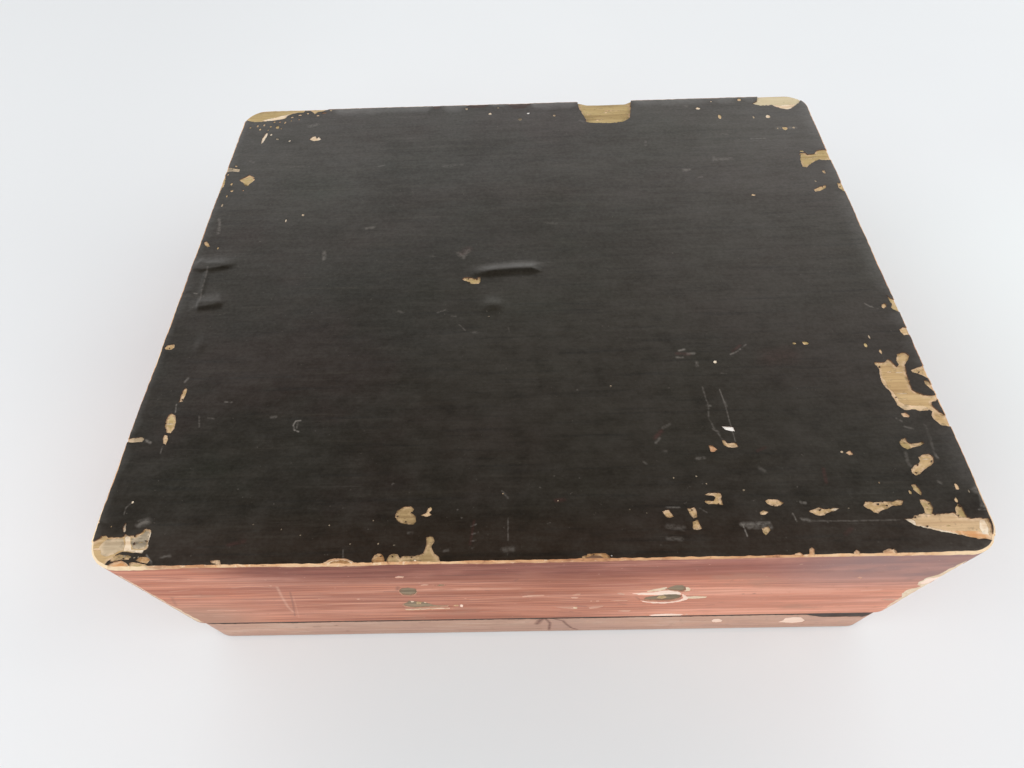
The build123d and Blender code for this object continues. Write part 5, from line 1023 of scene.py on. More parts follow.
# raised wrinkles in the paint: line, height, width behind, width before, ends
WRINKLES = [
    (T((466, 273.4), (476, 271.6), (488, 270.6), (501, 269.2), (517, 268.2), (533.4, 267.6)), 0.84, 2.8, 1.9, 12.0, 1.0),
    (T((478, 304.4), (490, 303.6), (507, 304)), 0.55, 3.2, 2.8, 7.0, 6.0),
    (T((193, 266), (202, 267.6), (211, 267.4), (224, 265.6), (239, 261.4)), 0.62, 4.0, 1.6, 3.0, 9.0),
    (T((195, 306), (204, 305), (214, 303.6), (224, 301.6)), 0.60, 3.8, 1.9, 2.0, 3.0),
    (T((192, 346), (200, 345), (209, 343)), 0.34, 3.4, 3.0, 5.0, 5.0),
    (T((208, 266), (205, 278), (200, 297)), 0.16, 1.2, 1.2, 3.0, 3.0),
]


def wrinkle(s, t):
    out = 0.0
    q = np.array((s, t))
    for line, h, back, fore, e0, e1 in WRINKLES:
        total = sum(math.dist(a, b) for a, b in zip(line, line[1:]))
        run, best = 0.0, None
        for a, b in zip(line, line[1:]):
            a, b = np.array(a), np.array(b)
            d = b - a
            f = min(1.0, max(0.0, float((q - a) @ d) / float(d @ d)))
            c = a + d * f
            gap = float(np.linalg.norm(q - c))
            if best is None or gap < best[0]:
                best = (gap, run + f * float(np.linalg.norm(d)), (q - c)[1] if abs(d[0]) > abs(d[1]) else (q - c)[0])
            run += float(np.linalg.norm(d))
        gap, along, over = best
        if gap > 14:
            continue
        w = back if over > 0 else fore
        ends = smooth(0, e0, along + 0.4) * smooth(0, e1, total - along + 0.4)
        out = max(out, h * ends * math.exp(-(gap / w) ** 2))
    return out


def edge_gap(s, t):
    """Distance in from the outline of the top."""
    ax, ay = abs(s) - (HALF_W - CORNER), abs(t) - (HALF_D - CORNER)
    if ax > 0 and ay > 0:
        return CORNER - math.hypot(ax, ay)
    return min(HALF_W - abs(s), HALF_D - abs(t))


def top_height(s, t):
    e = edge_gap(s, t)
    sag = 0.62 * smooth(0, 46, e) + 0.16 * smooth(0, 9, e)
    return -sag + 0.05 * wob(0.03 * s, 0.05 * t, 0.0, 1.0) * smooth(0, 8, e) + wrinkle(s, t)


def rim_at(s, t):
    """Nearest point of the upright edge of the panel, and the way out."""
    ax, ay = abs(s) - (HALF_W - CORNER), abs(t) - (HALF_D - CORNER)
    if ax > 0 and ay > 0:
        n = np.array((math.copysign(ax, s), math.copysign(ay, t)))
        n = n / np.linalg.norm(n)
        c = np.array((math.copysign(HALF_W - CORNER, s), math.copysign(HALF_D - CORNER, t)))
        return c + n * CORNER, n
    if HALF_W - abs(s) < HALF_D - abs(t):
        return np.array((math.copysign(HALF_W, s), t)), np.array((math.copysign(1.0, s), 0.0))
    return np.array((s, math.copysign(HALF_D, t))), np.array((0.0, math.copysign(1.0, t)))


NOTCH = (on_top(577, 104)[0], on_top(632, 104)[0])


def notch(p):
    """How far the back edge is broken in where a fitting was torn off."""
    if p[1] < HALF_D - 4:
        return 0.0
    return 1.9 * smooth(NOTCH[0] - 0.5, NOTCH[0] + 6, p[0]) * smooth(NOTCH[1] + 0.4, NOTCH[1] - 4.0, p[0])


FRONT_WEAR = [(-140, 1.3), (-126, 1.5), (-116, 0.5), (-106, -0.2), (-92, -0.4), (-82, -0.2), (-77, 0.9), (-60, 1.2), (-50, 0.3), (-30, 0.0), (-18, 0.7), (0, 0.8), (22, 0.6),
              (44, 0.0), (66, 0.1), (80, -0.3), (96, -0.3), (104, 0.0), (120, 0.2), (140, 0.2)]


def wear_down(x, y):
    """How far the bare wood of the rubbed edge runs down the upright face."""
    ragged = 0.55 * wob(0.11 * x, 0.11 * y, 0.0, 11.0) + 0.45 * wob(0.7 * x, 0.7 * y, 0.0, 12.0)
    if y < -HALF_D + 6.0:
        return max(0.05, float(np.interp(x, *zip(*FRONT_WEAR))) + ragged)
    return max(0.05, 0.3 + 1.3 * ragged)


def top_outline():
    out = []
    straight = []
    a, c = HALF_W - CORNER, HALF_D - CORNER

    def run(p, q, step):
        n = max(1, int(round(math.dist(p, q) / step)))
        return [(p[0] + (q[0] - p[0]) * i / n, p[1] + (q[1] - p[1]) * i / n) for i in range(n)]

    def arc(cx, cy, d0, n=22):
        return [(cx + CORNER * math.cos(math.radians(d0 + 90 * i / n)), cy + CORNER * math.sin(math.radians(d0 + 90 * i / n))) for i in range(n)]

    straight += run((-a, -HALF_D), (a, -HALF_D), 0.8) + arc(a, -c, -90)
    straight += run((HALF_W, -c), (HALF_W, c), 1.0) + arc(a, c, 0)
    straight += run((a, HALF_D), (-a, HALF_D), 1.0) + arc(-a, c, 90)
    straight += run((-HALF_W, c), (-HALF_W, -c), 1.0) + arc(-a, -c, 180)
    for x, y in straight:
        q, n = rim_at(x * 0.99999, y * 0.99999)
        r = 0.44 + 0.26 * wob(0.07 * x, 0.07 * y, 0.0, 5.0) + 0.24 * wob(0.45 * x, 0.45 * y, 0.0, 6.0)
        r = min(1.15, max(0.18, r)) + notch(q)
        r += 0.35 * smooth(-108, -128, x) * smooth(-99, -112, y) + 0.45 * smooth(113, 132, x) * smooth(-101, -113, y)
        p = np.array((x, y)) - n * r
        out.append((float(p[0]), float(p[1])))
    return out


def top_panel():
    outline = top_outline()
    made = []
    for c in top_chips:
        c = dict(c, pts=torn(c["pts"], rng))
        made.append(c)
        made += remains(c, rng, "black")
    spots = []
    y = -HALF_D + 3
    while y < HALF_D - 2:
        x = -HALF_W + 3
        while x < HALF_W - 2:
            spots.append((x + rng.uniform(-1, 1), y + rng.uniform(-1, 1)))
            x += 5.5
        y += 5.5
    for c in made:
        a = np.array(c["pts"])
        lo, hi = a.min(0), a.max(0)
        sx, sy = max(0.7, (hi[0] - lo[0]) / 45), max(0.7, (hi[1] - lo[1]) / 45)
        g = np.array([(x + rng.uniform(-0.2, 0.2), y2 + rng.uniform(-0.2, 0.2))
                      for x in np.arange(lo[0] + 0.3, hi[0], sx) for y2 in np.arange(lo[1] + 0.3, hi[1], sy)]).reshape(-1, 2)
        if len(g):
            spots += [tuple(p) for p in g[within(c["pts"], g)]]
    for k in (*top_scuffs, *top_stains):
        spots += k.spots()
    for line, h, back, fore, e0, e1 in WRINKLES:
        for a, b in zip(line, line[1:]):
            a, b = np.array(a), np.array(b)
            d = b - a
            n = np.array((-d[1], d[0])) / np.linalg.norm(d)
            k = int(np.linalg.norm(d) / 0.7) + 1
            for i in range(k):
                for w in np.arange(-2.2 * fore, 2.2 * back, 0.5):
                    spots.append(tuple(a + d * i / k + n * w * (1 if n[1] > 0 or abs(n[1]) < 0.3 else -1)))
    spots = [tuple(p) for p in np.array(spots)[within(outline, spots)] if edge_gap(*p) > 1.6 + (3.0 if p[1] > 112 else 0)]
    pts, tris, owner = cut(outline, made, spots)
    b = Builder()

    def place(s, t, h):
        return (s, t, min(TOP_Z + h, HEIGHT - 0.01))

    rim, at = carve(b, pts, tris, owner, made, place, top_height, top_scuffs, top_stains, "black")
    cols = {}

    def column(i, d):
        """Down over the rubbed edge and the upright face, from one point of the rim."""
        top = at(i, d)
        if (i, d) in cols:
            return cols[(i, d)]
        s, t = pts[i]
        q, n = rim_at(s, t)
        inset = float(np.linalg.norm(q - np.array((s, t))))
        cutin = min(notch(q), inset)
        z = b.v[top][2] * 1000.0
        r = max(0.3, inset - cutin)
        ids = [top]
        for deg in (30, 60, 90):
            g = cutin + (inset - cutin) * (1 - math.sin(math.radians(deg)))
            p = q - n * g
            ids.append(b.vert((p[0], p[1], z - r * (1 - math.cos(math.radians(deg))))))
        worn = min(z - r - 0.1, max(90.6, 93.7 - wear_down(*q)))
        for zz, share in ((worn, 1.0), (min(91.0, worn - 0.3), 0.75), (89.6, 0.0), (PANEL_Z, 0.0)):
            p = q - n * cutin * share
            ids.append(b.vert((p[0], p[1], zz)))
        cols[(i, d)] = ids
        return ids

    nxt = {a: (c, d) for a, c, d in rim}
    start = next(iter(nxt))
    a, loop = start, []
    while True:
        c, d = nxt[a]
        loop.append((a, c, d))
        a = c
        if a == start:
            break
    bottom = []
    kinds = ("arris", "arris", "arris", "arris", "pink", "pink", "pink")
    for k, (a, c, d) in enumerate(loop):
        ca, cc = column(a, d), column(c, d)
        torn_off = notch(np.array(pts[a])) > 0.25
        for j in range(len(ca) - 1):
            kind = kinds[j]
            if torn_off and j < 5:
                kind = "olive"

            b.face([ca[j + 1], cc[j + 1], cc[j], ca[j]], kind)
        bottom.append(ca[-1])
        d2 = loop[(k + 1) % len(loop)][2]
        if abs(d2 - d) > 1e-6:
            cn = column(c, d2)
            for j in range(len(cc) - 1):
                b.face([cc[j + 1], cn[j + 1], cn[j], cc[j]], "arris")
    b.face(list(reversed(bottom)), "inside")
    return b


panel = top_panel().done("top_panel", "lid_panel", "lid", "black_panel", 34.0)


# ------------------------------------------------------------------ the red boards
def F(*px):
    return [on_front(u, v) for u, v in px]


def dot_front(kind, depth, u, v, w, h, place=on_front):
    a, b2 = place(u - w / 2, v), place(u + w / 2, v)
    c, d = place(u, v + h / 2), place(u, v - h / 2)
    x, y = place(u, v)
    return chip(kind, depth, blob(rng, x, y, b2[0] - a[0], max(0.4, d[1] - c[1]), 10, 0.2))


front_chips = [
    # left gouge
    chip("hole", 0.40, F((398.6, 590.7), (401.4, 588.4), (408.6, 587.8), (415.7, 588.8), (417.4, 592.9), (414.6, 595.6), (408.6, 596.4), (402.9, 595.8), (399.6, 593.6))),
    chip("rose", 0.10, F((394, 577.4), (398, 576.2), (404, 576.6), (403, 578.6), (396, 578.6))),
    chip("rose", 0.10, F((419.6, 585.4), (424, 584.2), (428.6, 584.6), (427, 586), (421, 586.2))),
    chip("hole", 0.30, F((436, 585.6), (440, 584.4), (445, 585), (444, 586.4), (439, 586.8))),
    chip("cream", 0.12, F((405.2, 609.2), (417, 608.9), (428.6, 608.5), (440, 608.2), (450, 608), (450, 609), (440, 609.4), (428.6, 609.8), (417, 610.2), (406, 610.6))),
    chip("hole", 0.50, F((401.6, 604.8), (406.4, 602.8), (409.3, 600.6), (412.9, 601.3), (418.6, 602), (424.3, 602), (429.3, 603.6), (433.6, 605.2), (441.4, 605.6), (447.1, 605.6), (450, 605.2), (447.1, 607.2), (441.4, 607.8), (434.3, 607.8), (427.1, 608.2), (417.1, 608.7), (410.7, 608.3), (405.7, 607.3))),
    chip("cream", 0.50, F((409.4, 601.6), (412, 601.6), (414, 603.2), (411.6, 604))),
    chip("olive", 0.55, F((416, 604), (419, 602.6), (422, 603.6), (420.6, 605.8), (417, 606))),
    chip("cream", 0.52, F((422.6, 602.6), (425, 602.4), (427.6, 604), (425, 604.8))),
    chip("tan", 0.30, F((452.6, 606), (455, 605), (459, 605.2), (458, 606.8), (454.6, 607))),
    chip("bruise", 0.10, F((459.8, 605.6), (461, 604.5), (462.8, 605), (463.2, 606.6), (462.2, 607.8), (460.4, 607.4))),
    # right gouge
    chip("cream", 0.10, F((646, 591.4), (657, 588.9), (666.4, 587.2), (667.6, 589.8), (657, 591.4), (648, 592.3))),
    chip("cream", 0.14, F((684.6, 587), (688, 587.2), (690.9, 589.2), (689.4, 591.6), (685, 592.2))),
    chip("rose", 0.08, F((691, 590.6), (692.6, 589.4), (694.4, 590), (693, 591.2))),
    chip("bruise", 0.14, F((630.6, 594), (641.4, 592.9), (652.9, 592.8), (660, 591.2), (668.6, 590.6), (676.7, 591.2), (682, 593.4), (680, 595.4), (664.3, 595.9), (650, 595.6), (638.6, 595.2))),
    chip("bruise", 0.14, F((638.6, 599.6), (642, 600.6), (646, 601.6), (652, 602), (660, 602.2), (668, 602), (675, 601.2), (680, 599.8), (683, 598), (682.6, 596), (680.6, 594.8), (683, 594.4), (686.6, 596.4), (688.4, 598), (686.6, 600.4), (680, 602), (672, 603.4), (664, 603.8), (653, 603.6), (643, 602.4))),
    chip("cream", 0.08, F((687, 596.8), (697, 596.2), (707, 596.6), (706, 598.2), (696, 598.8), (688, 599))),
    chip("hole", 0.50, F((664.6, 589.6), (670, 587), (676, 585.2), (682.6, 585.2), (686, 587.4), (686, 591), (682.4, 592.2), (675, 591.8), (668.6, 590.9))),
    chip("hole", 0.45, F((641.6, 600), (645, 597.6), (651, 596.4), (660, 595.6), (668, 594.9), (676, 594.7), (681.4, 595.6), (682, 597.2), (679, 599), (674, 600.4), (668, 601), (660, 601.2), (652, 601), (646, 600.8))),
    chip("olive", 0.46, F((656.4, 599.4), (659, 597.2), (664, 596.8), (667, 598.6), (663, 600.2))),
    # rubbed streaks
    chip("rose", 0.06, F((571, 595.4), (576, 594), (581, 593.8), (580, 595.2), (575, 595.8))),
    chip("rose", 0.06, F((570.6, 597.4), (575, 596.8), (579, 597.6), (577, 598.8), (572, 598.6))),
    chip("rose", 0.08, F((552, 607.4), (564, 607), (574, 606.8), (577.4, 607.6), (577.4, 609.4), (573, 609.6), (562, 608.6))),
    chip("cream", 0.12, F((573, 607.4), (577, 607.2), (577.6, 609), (574, 609.4))),
    chip("rose", 0.10, F((588, 608), (591, 606.6), (597, 606.2), (603.4, 605.6), (603, 607.4), (596, 608.8), (590, 609.4))),
    chip("rose", 0.06, F((590, 600.8), (592, 600.4), (592.4, 601.8), (590.4, 602))),
    chip("rose", 0.06, F((596, 600.6), (599, 600.4), (599.4, 601.8), (596.4, 602.2))),
    chip("rose", 0.08, F((608, 600.6), (618, 600.2), (628, 600.4), (627, 601.6), (616, 601.6))),
    chip("rose", 0.08, F((616, 593.4), (621, 592.8), (625, 594), (624, 595.4), (619, 594.6))),
    chip("rose", 0.08, F((616, 611.2), (623, 610.2), (630, 610.4), (631, 611.6), (624, 612.2))),
    chip("bruise", 0.12, F((646.6, 615.6), (655, 614.4), (668, 613.8), (682, 614), (683, 615.4), (668, 615.8), (655, 616.4))),
    chip("rose", 0.10, F((684.6, 614.8), (686.6, 613.8), (688.4, 614.8), (686.6, 616))),
    chip("rose", 0.06, F((521, 596.4), (530, 595.2), (544, 595), (545, 596), (532, 596.8), (524, 597.6))),
    chip("rose", 0.08, F((857, 578), (860, 576.8), (863, 577.6), (861, 579.4))),
    chip("rose", 0.06, F((268, 586.4), (270, 585.2), (272.6, 586), (270.6, 587.2))),
    chip("rose", 0.06, F((356, 599.6), (358, 598.4), (360.4, 599.2), (358.6, 600.4))),
]
# the worn upright corners, in board lengths: along the board past its flat part, and height


def corner_wear(sign, profile, kind="cream"):
    """A ragged strip of bare wood on a rounded corner; profile lists height and where it begins."""
    zs, at = [z for z, _ in reversed(profile)], [a for _, a in reversed(profile)]
    near, away = [], []
    z = zs[0]
    while z < zs[-1]:
        a = float(np.interp(z, zs, at))
        thin = smooth(129.6, 131.6, a)
        near.append((sign * (a + 0.25 * wob(0.8 * z, sign, 0.0, 14.0)), z))
        far = 136.3 - 1.8 * thin + (1.7 - 0.8 * thin) * wob(0.16 * z, sign, 2.0, 15.0) + 0.6 * wob(0.9 * z, sign, 4.0, 16.0)
        away.append((sign * min(137.3, max(a + 0.7, far)), z))
        z += 0.8
    return chip(kind, 0.10, near + away[::-1])


front_chips += [
    corner_wear(1, [(86.6, 131.8), (84, 131.0), (82, 131.3), (79, 130.4), (76, 130.7), (74, 130.0), (71.6, 128.9), (70, 127.9), (68, 128.2), (66, 127.7), (64, 128.3), (62.4, 129.4), (61, 131.0), (59.4, 130.6), (58, 128.9), (56, 128.4), (54, 128.9), (52, 129.0), (50, 130.0), (48, 130.9), (45, 130.4), (42, 131.0), (40, 130.6), (36, 131.4), (33, 132.4), (30, 132.2), (28, 133.2)]),
    chip("bruise", 0.12, [(136.8, 70.6), (129.8, 70.2), (129.0, 68.6), (129.2, 66.6), (128.8, 65.0), (129.6, 63.6), (131.0, 62.8), (136.8, 62.6)]),
    chip("cream", 0.12, [(136.8, 57.6), (131.0, 57.4), (130.0, 56.2), (130.4, 54.4), (129.9, 53.0), (131.2, 51.6), (136.8, 51.2)]),
    chip("rose", 0.06, [(124, 45.6), (127, 43.6), (130.6, 42.8), (131.6, 44.2), (128, 46.2)]),
    corner_wear(-1, [(86.6, 131.7), (82, 132.4), (76, 131.8), (70, 132.5), (64, 132.0), (58, 131.5), (56, 132.4), (50, 131.9), (46, 131.2), (42, 131.7), (39, 131.0), (36, 131.4), (33, 130.4), (30, 130.8), (28, 129.6)]),
]
front_scuffs = [
    S([(277, 587), (282, 597), (288, 607), (293, 612)], 1.7, 0.40, on_front), S([(293, 596), (296, 606), (299, 618)], 0.8, 0.20, on_front),
    S([(232, 588), (250, 586), (275, 588)], 1.6, 0.25, on_front), S([(170, 592), (190, 590)], 1.6, 0.3, on_front), S([(175, 597), (200, 596)], 1.2, 0.25, on_front),
    S([(208, 610.6), (222, 610), (236, 610.6)], 1.3, 0.5, on_front), S([(214, 616.4), (224, 616.4)], 1.2, 0.4, on_front), S([(172, 608), (184, 615), (196, 620)], 1.4, 0.55, on_front),
    S([(470, 600), (500, 598), (540, 597)], 1.2, 0.30, on_front), S([(480, 612), (520, 610), (560, 610)], 1.2, 0.30, on_front), S([(690, 603), (720, 602), (760, 601)], 1.0, 0.3, on_front),
    S([(700, 592), (740, 590)], 2.0, 0.3, on_front), S([(780, 596), (830, 593)], 1.4, 0.3, on_front), S([(800, 604), (850, 602)], 1.2, 0.28, on_front), S([(862, 591), (880, 590)], 2.2, 0.45, on_front),
    S([(458, 590), (520, 588)], 2.0, 0.30, on_front), S([(420, 586), (428, 585)], 1.0, 0.5, on_front), S([(454, 606), (459, 606)], 1.0, 0.6, on_front), S([(300, 606), (380, 603)], 1.5, 0.25, on_front),
    S([(250, 598), (330, 596)], 1.5, 0.22, on_front), S([(590, 585), (640, 584)], 1.5, 0.2, on_front), S([(720, 612), (800, 610)], 1.0, 0.3, on_front),
]
front_dirts = [
    S([(398, 587), (397, 590)], 2.2, 0.7, on_front), S([(384, 592), (399, 592)], 1.1, 0.8, on_front), S([(435, 586), (446, 585.4)], 1.4, 0.55, on_front), S([(420, 596.4), (456, 596.4)], 0.9, 0.7, on_front),
    S([(515, 581), (518, 579)], 1.8, 0.6, on_front), S([(430, 569), (500, 568.6), (570, 568)], 4.0, 0.55, on_front), S([(430, 576), (520, 574)], 2.4, 0.35, on_front), S([(630, 568), (700, 566)], 4.0, 0.35, on_front),
    S([(700, 574), (760, 573), (830, 571)], 5.0, 0.25, on_front), S([(486, 590.4), (490, 591)], 1.2, 0.6, on_front), S([(525, 597), (528, 597.4)], 1.3, 0.6, on_front), S([(706, 605), (714, 604.6)], 1.0, 0.5, on_front),
    S([(300, 620), (420, 617), (520, 614)], 1.4, 0.3, on_front), S([(176, 600), (197, 600)], 0.9, 0.7, on_front), S([(560, 613), (580, 613)], 2.0, 0.35, on_front), S([(172, 598), (176, 606)], 2.0, 0.35, on_front),
    S([(578, 606), (586, 606.6)], 2.4, 0.55, on_front), S([(619, 604), (625.6, 604.4)], 2.0, 0.5, on_front), S([(743, 594), (743.4, 594)], 1.6, 0.7, on_front), S([(754, 593.6), (754.4, 593.6)], 1.8, 0.7, on_front),
    S([(570, 611.6), (573, 612)], 1.2, 0.5, on_front), S([(636, 597), (640, 600)], 1.6, 0.4, on_front), S([(640, 592), (664, 590)], 1.2, 0.3, on_front), S([(690, 594), (720, 593)], 1.0, 0.35, on_front),
    S([(290, 592), (293, 604), (295, 616)], 1.2, 0.55, on_front), S([(460, 583), (540, 581), (640, 579)], 1.0, 0.4, on_front), S([(230, 600), (360, 596)], 0.9, 0.4, on_front), S([(560, 589), (640, 588)], 0.9, 0.35, on_front),
    S([(700, 586), (800, 583), (860, 582)], 1.0, 0.4, on_front), S([(690, 598.6), (780, 597), (840, 596)], 0.9, 0.4, on_front), S([(240, 614), (330, 612), (400, 613)], 0.9, 0.4, on_front),
]
SIDES = {w: Side(w, {"front": 130.0, "back": 130.0, "left": 107.5, "right": 107.5}[w], {"front": 117.5, "back": 117.5, "left": 140.0, "right": 140.0}[w], 10.0) for w in ("front", "back", "left", "right")}
BASES = {w: Side(w, {"front": 130.0, "back": 130.0, "left": 107.5, "right": 107.5}[w], {"front": 116.5, "back": 116.5, "left": 139.0, "right": 139.0}[w], 9.0) for w in ("front", "back", "left", "right")}


def scattered(seed, half, low, high, many, gouges):
    """Chips, gouges, rubbed and dirty lines for a board that the picture doesn't show."""
    r = random.Random(seed)
    chips, worn, dirty = [], [], []
    for _ in range(gouges):
        s, t = r.uniform(-0.8 * half, 0.8 * half), r.uniform(low + 0.25 * (high - low), high - 0.25 * (high - low))
        w, h = r.uniform(9, 17), r.uniform(2.0, 3.6)
        chips.append(chip("rose", 0.10, blob(r, s, t, w, h, 14, 0.25)))
        chips.append(chip("hole", 0.55, blob(r, s - 0.1 * w, t + 0.1 * h, 0.62 * w, 0.5 * h, 11, 0.3)))
    for _ in range(many):
        s, t = r.uniform(-half, half), r.uniform(low + 2, high - 2)
        kind = r.choice(["rose", "rose", "cream", "rose", "brown"])
        chips.append(chip(kind, 0.08, blob(r, s, t, r.uniform(1.5, 7.0), r.uniform(0.5, 1.3), 9, 0.35)))
    for _ in range(5):
        t = r.choice([low + 1.6, high - 1.4])
        s = r.uniform(-half, half)
        chips.append(chip(r.choice(["cream", "tan"]), 0.16, blob(r, s, t, r.uniform(4, 13), r.uniform(0.9, 1.8), 12, 0.35)))
    for sg in (-1, 1):
        for _ in range(3):
            s, t = sg * (half + r.uniform(1.5, 5.5)), r.uniform(low + 6, high - 6)
            chips.append(chip("cream", 0.16, blob(r, s, t, r.uniform(1.2, 2.6), r.uniform(3, 8), 10, 0.3)))
    for _ in range(9):
        s, t = r.uniform(-half, half), r.uniform(low + 3, high - 3)
        n = r.uniform(8, 40)
        worn.append(Stroke([(s, t), (s + n, t + r.uniform(-1.2, 1.2))], r.uniform(0.3, 0.8), r.uniform(0.3, 0.6)))
    for _ in range(3):
        s, t = r.uniform(-half, half), r.uniform(low + 5, high - 5)
        worn.append(Stroke([(s, t), (s + r.uniform(-5, 5), t + r.uniform(5, 14))], 0.3, r.uniform(0.4, 0.7)))
    for _ in range(4):
        s, t = r.uniform(-half, half), r.uniform(low + 4, high - 2)
        dirty.append(Stroke([(s, t), (s + r.uniform(10, 40), t + r.uniform(-2, 2))], r.uniform(1.5, 4.5), r.uniform(0.3, 0.5)))
    return chips, worn, dirty


worn_side("lid_front_board", "front_board", "lid", "red_board", SIDES["front"], "pink", front_chips, front_scuffs, front_dirts, seed=11)
for n, w in enumerate(("left", "right", "back")):
    half = SIDES[w].half
    low = 33.5 if w == "back" else 27.5
    c, s, d = scattered(40 + n, half, low, 86.5, 26 if w != "back" else 34, 2)
    worn_side(f"lid_{w}_board", f"{w}_board", "lid", "red_board", SIDES[w], "pink", c, s, d, "inside" if w == "back" else "inside_y", seed=21 + n)


def B(*px):
    return [on_base(u, v) for u, v in px]


def seam_band(half, low, wedge=()):
    """Painted shadow and dirt under the lid's edge: a ragged dark band at the top of a base rail, deeper over the given
    lengths.
    """
    r = random.Random(int(half * 7 + low))
    end = half + 6.8
    out = [(-end, 25.3), (end, 25.3)]
    x = end
    while x > -end:
        deep = sum(d * smooth(a, a + e, x) * smooth(b, b - min(e, 3.5), x) for a, b, d, e in wedge)
        out.append((x, low + (23.3 - low) * smooth(half + 1.6, end, abs(x)) - deep + 0.55 * wob(0.06 * x, 0.0, 0.0, half) + 0.35 * wob(0.5 * x, 3.0, 0.0, half) + r.uniform(-0.12, 0.12)))
        x -= r.uniform(0.8, 1.6)
    out.append((-end, 23.3))
    return chip("grime", 0.12, out)


WEDGE = on_base(800, 615)[0]
base_chips = [
    seam_band(130.0, 20.6, ((WEDGE, 137.0, 4.6, 12.0),)),
    chip("bruise", 0.14, B((711.4, 620.8), (714, 619.2), (719, 619), (722.4, 620.4), (721, 622.2), (716, 622.8), (712.6, 622.4))),
    chip("bruise", 0.14, B((777.6, 622.4), (783, 620.4), (785, 618.4), (793, 617.4), (801, 617.4), (805, 620.4), (802, 622.4), (792, 623.4))),
]
base_dirts = [
    S([(555.7, 619.3), (562.9, 620.7), (566.4, 624.3), (571.4, 627.9), (577, 629.4)], 1.7, 1.0, on_base), S([(537, 624), (540, 620.4), (543, 618.6)], 3.2, 1.0, on_base), S([(546, 619), (550, 623), (549, 629.6)], 1.8, 1.0, on_base),
    S([(536, 628.6), (541, 628.4)], 1.4, 0.6, on_base), S([(549, 628.6), (551, 628.4)], 1.4, 0.6, on_base), S([(314, 627), (320, 627)], 1.5, 0.95, on_base), S([(335, 625.8), (337, 625.6)], 1.5, 0.95, on_base), S([(347, 631), (349, 631)], 1.4, 0.85, on_base),
    S([(664, 626), (671, 625.8)], 0.9, 0.6, on_base), S([(663, 618.8), (666, 618.6)], 1.0, 0.6, on_base), S([(420, 623), (430, 622)], 1.4, 0.4, on_base), S([(300, 632.6), (420, 630.4), (600, 627.6)], 1.2, 0.35, on_base), S([(600, 627.6), (850, 624)], 1.2, 0.35, on_base),
    S([(240, 629), (300, 627.6)], 1.0, 0.3, on_base), S([(440, 626), (520, 624)], 0.9, 0.3, on_base), S([(680, 621), (705, 620.6)], 0.9, 0.35, on_base),
]
worn_side("base_front_rail", "front_rail", "case", "pink_rail", BASES["front"], "rail", base_chips, [], base_dirts, seed=31, sag=0.03)
for n, w in enumerate(("left", "right", "back")):
    half = BASES[w].half
    c, s, d = scattered(60 + n, half, 1.5, 19.0 if w == "back" else 22.0, 9, 0)
    # the side rails get a thinner band of the same painted seam shadow
    if w != "back":
        c.insert(0, seam_band(half, 23.4))
    worn_side(f"base_{w}_rail", f"{w}_rail", "case", "pink_rail", BASES[w], "rail", c, s, d, "inside" if w == "back" else "inside_y", seed=41 + n, sag=0.03)


# ------------------------------------------------------------------ the tune disc, with its punched slots
def tune_disc():
    cx, cy, rad, z0, z1 = 24.0, 0.0, 88.0, 55.0, 55.7
    lo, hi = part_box("tune_disc")
    r = random.Random(5)
    pts2, faces2 = [], []

    def circle(x, y, rr, n):
        return [(x + rr * math.cos(2 * math.pi * i / n), y + rr * math.sin(2 * math.pi * i / n)) for i in range(n)]

    holes = [circle(cx, cy, 3.1, 32), circle(cx, cy + 11, 1.65, 20), circle(cx, cy - 11, 1.65, 20)]
    for k in range(24):
        rr = 51.0 + 2.4 * k - cx
        n = int(5 + rr * 0.21)
        at = 0.0
        angles = []
        for i in range(n):
            a = 360.0 * (i + r.uniform(0.1, 0.9)) / n
            if all(abs((a - b + 180) % 360 - 180) > math.degrees(4.2 / rr) for b in angles):
                angles.append(a)
        for a in angles:
            a = math.radians(a)
            tx, ty = -math.sin(a), math.cos(a)
            px, py = cx + rr * math.cos(a), cy + rr * math.sin(a)
            box = []
            for u, w in ((-1.0, -0.5), (0.75, -0.5), (1.05, -0.25), (1.05, 0.25), (0.75, 0.5), (-1.0, 0.5)):
                box.append((px + tx * u + math.cos(a) * w, py + ty * u + math.sin(a) * w))
            holes.append(turned(box))
    rim = circle(cx, cy, rad - 0.12, 220)
    verts = [Vector(p) for p in rim]
    faces = [list(range(len(rim)))]
    for h in holes:
        faces.append(list(range(len(verts), len(verts) + len(h))))
        verts += [Vector(p) for p in h]
    v, _, f, _, _, of = delaunay_2d_cdt(verts, [], faces, 0, 1e-5)
    tris = [tuple(t) for t, o in zip(f, of) if list(o) == [0]]
    b = Builder()
    upper = [b.vert((p.x, p.y, z1)) for p in v]
    lower = [b.vert((p.x, p.y, z0)) for p in v]
    edges = set()
    for t in tris:
        b.face([upper[i] for i in t], "disc_steel")
        b.face([lower[i] for i in reversed(t)], "disc_steel")
        edges.update(((t[0], t[1]), (t[1], t[2]), (t[2], t[0])))
    for a, c in edges:
        if (c, a) in edges:
            continue
        pa, pc = v[a], v[c]
        if math.hypot(pa.x - cx, pa.y - cy) > rad - 0.3:
            out = []
            for p in (pa, pc):
                d = Vector((p.x - cx, p.y - cy)).normalized()
                out.append((cx + d.x * rad, cy + d.y * rad))
            ka = [upper[a], b.vert((*out[0], z1 - 0.12)), b.vert((*out[0], z0 + 0.12)), lower[a]]
            kc = [upper[c], b.vert((*out[1], z1 - 0.12)), b.vert((*out[1], z0 + 0.12)), lower[c]]
            for j in range(3):
                b.face([ka[j + 1], kc[j + 1], kc[j], ka[j]], "disc_steel")
        else:
            b.face([lower[a], lower[c], upper[c], upper[a]], "disc_steel")
    return b


tune_disc().done("punched_disc", "tune_disc", "disc", "disc_steel", 30.0)

